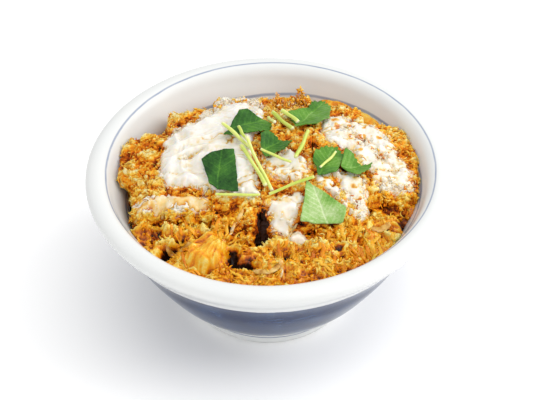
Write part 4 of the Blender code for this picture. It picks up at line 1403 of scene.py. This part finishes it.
def build_leaves(food, material):
    """Lay the mitsuba leaves, folded, veined and curled."""
    top = food.copy()
    for index, (outline, turn, fold, curl, teeth, shade, vein_gap) in enumerate(LEAVES):
        node = f"mitsuba_leaf_{index + 1}"
        rim = leaf_rim(outline, teeth, 500 + index)
        centre = np.array(outline, float).mean(axis=0)
        reach = np.linalg.norm(rim - centre, axis=1).max()
        along, across = turned(FX, FY, *centre, turn)
        ring = np.hypot(along, across) / reach
        wave = 0.35 * np.sin(0.7 * FX + 0.5 * FY + index) * ring
        bent = fold * np.abs(across) / reach + curl * ring * ring + wave
        inside = depth_inside(rim, FX, FY) > -0.5
        sheet = leaf_sheet(top, inside, centre, bent, node)
        rings = np.linspace(0.0, 1.0, LEAF_RINGS + 1)[1:]
        flat = centre + rings[:, None, None] * (rim - centre)[None]
        flat = np.vstack([centre[None], flat.reshape(-1, 2)])
        along, across = turned(flat[:, 0], flat[:, 1], *centre, turn)
        place = np.c_[flat, np.zeros(len(flat))]
        across = across + 0.35 * noise(place, 6.0, 520 + index)
        midrib = np.exp(-(across / MIDRIB[0]) ** 2)
        phase = (along - 0.9 * np.abs(across)) / vein_gap + 0.12 * noise(place, 4.0, 530)
        vein = np.exp(-(((phase + 0.5) % 1.0 - 0.5) * vein_gap / VEIN[0]) ** 2)
        web = ridges(place, 1.7, 540 + index, 2)
        z = sample(sheet, flat[:, 0], flat[:, 1]) - VEIN[1] * vein - MIDRIB[1] * midrib + 0.1 * web
        tone = shade + 0.16 * midrib + 0.11 * vein - 0.12 * web + 0.16 * noise(place, 7.0, 550 + index)
        upper = np.c_[flat, z]
        lower = upper - (0.0, 0.0, LEAF_THICKNESS)
        add_piece(f"veined_leaf_{index + 1}", np.vstack([upper, lower]), leaf_faces(rim, len(flat)),
                  material, [node], {"tone": np.r_[tone, tone + 0.12]})
        top = np.where(inside, np.maximum(top, sheet), top)
    return top


# Stage

def add_floor():
    """Lay the plain pale floor."""
    mesh = bpy.data.meshes.new("floor")
    corners = [(x * FLOOR_HALF, y * FLOOR_HALF, 0.0) for x, y in ((-1, -1), (1, -1), (1, 1), (-1, 1))]
    mesh.from_pydata(corners, [], [(0, 1, 2, 3)])
    floor = bpy.data.objects.new("floor", mesh)
    bpy.context.scene.collection.objects.link(floor)
    material, _, shader = new_material("pale_floor", 0.9, shine=0.0)
    shader.inputs["Base Color"].default_value = (FLOOR_GREY, FLOOR_GREY, FLOOR_GREY, 1.0)
    mesh.materials.append(material)


def add_light(name, place, target, size, power):
    """Add a soft square light, placed in millimetres."""
    light = bpy.data.lights.new(name, "AREA")
    light.size = size * MM
    light.energy = power
    obj = bpy.data.objects.new(name, light)
    obj.location = Vector(place) * MM
    direction = Vector(target) * MM - obj.location
    obj.rotation_mode = "QUATERNION"
    obj.rotation_quaternion = direction.to_track_quat("-Z", "Y")
    bpy.context.scene.collection.objects.link(obj)


def add_world(strength):
    """Surround the dish with even white light."""
    world = bpy.data.worlds.new("studio")
    bpy.context.scene.world = world
    world.use_nodes = True
    background = world.node_tree.nodes["Background"]
    background.inputs["Color"].default_value = (1.0, 1.0, 1.0, 1.0)
    background.inputs["Strength"].default_value = strength


def add_camera():
    """Place the camera where the photograph was taken from."""
    camera = bpy.data.cameras.new("camera")
    camera.sensor_width = SENSOR
    camera.lens = CAMERA_LENS
    obj = bpy.data.objects.new("camera", camera)
    bpy.context.scene.collection.objects.link(obj)
    elevation = math.radians(CAMERA_ELEVATION)
    target = Vector((0.0, 0.0, RIM_HEIGHT)) * MM
    back = Vector((0.0, -math.cos(elevation), math.sin(elevation)))
    focal = CAMERA_LENS / SENSOR * IMAGE_SIZE[0]
    pitch = math.atan((IMAGE_SIZE[1] / 2.0 - RIM_CENTRE_PIXEL[1]) / focal)
    yaw = math.atan((RIM_CENTRE_PIXEL[0] - IMAGE_SIZE[0] / 2.0) / focal)
    right = Vector((1.0, 0.0, 0.0))
    up = right.cross(-back)
    facing = Matrix((right, up, back)).transposed().to_4x4()
    turn = (Matrix.Rotation(yaw, 4, "Y") @ Matrix.Rotation(-pitch, 4, "X")
            @ Matrix.Rotation(-math.radians(CAMERA_ROLL), 4, "Z"))
    obj.matrix_world = Matrix.Translation(target + back * CAMERA_DISTANCE * MM) @ facing @ turn
    bpy.context.scene.camera = obj


def set_view():
    """Show colours as they are, without a film look."""
    scene = bpy.context.scene
    scene.view_settings.view_transform = "Standard"
    scene.view_settings.look = "None"
    scene.view_settings.exposure = 0.0


def crumb_share():
    """Give how many crumbs show: few on egg white, none in the open cut and under the leaves."""
    share = np.ones(FX.shape)
    for outline, _, _, _, shown in WHITES:
        share = np.minimum(share, 1.0 - (1.0 - shown) * smooth_step(-0.5, 3.6, white_depth(outline)))
    share = share * (1.0 - smooth_step(4.0, 2.6, np.abs(FX - CUT_X))
                     * smooth_step(CUT_FRONT + 1.0, CUT_FRONT - 2.0, FY))
    for outline, *_ in LEAVES:
        share = share * smooth_step(1.5, 0.0, depth_inside(outline, FX, FY))
    return share


add_camera()
add_floor()
add_world(WORLD_STRENGTH)
for lamp in LAMPS:
    add_light(*lamp)
set_view()

crust = crust_material()
egg, white, onion, leaf, stem = (food_material(name, *looks) for name, looks in FOODS.items())

# Fields that several foods follow
WHITE_DEPTH = np.maximum.reduce([white_depth(white_patch[0]) for white_patch in WHITES])
CRUMB_SHARE = crumb_share()
FILM_SHARE = np.maximum.reduce([strength * smooth_step(-1.0, 3.0, depth_inside(outline, FX, FY))
                                for outline, strength in FILMS])
PIT_WOBBLE = field_noise(2.5, 330)
PIT_FREE = np.minimum.reduce([smooth_step(0.6, 1.2, np.hypot((FX - x) / length, (FY - y) / width))
                              for x, y, length, width, _, _ in PITS])

build_bowl()
slices = build_slices()
add_slices(slices, crust)
bed_height, bed_tone = build_bed()
add_bed(bed_height, bed_tone, egg)
cutlet_top = cutlet_height(slices)
bare_bed = smooth_step(1.0, -0.5, cutlet_top - bed_height) * PIT_FREE
bare_bed = bare_bed * smooth_step(0.6, -0.8, depth_inside(FOLD_OUTLINE, FX, FY))
food_top = np.maximum(cutlet_top, bed_height)
scatter_on_slices(slices, crust)
scatter_on_bed(bed_height, bed_tone, bare_bed, crust)
add_peaks(food_top, crust)
food_top = add_fold(food_top, egg)
add_strands(food_top, egg)
add_ribbons(food_top, white)
build_onions(food_top, onion)
food_top = build_whites(food_top, white)
food_top = build_leaves(food_top, leaf)
build_stems(food_top, stem)
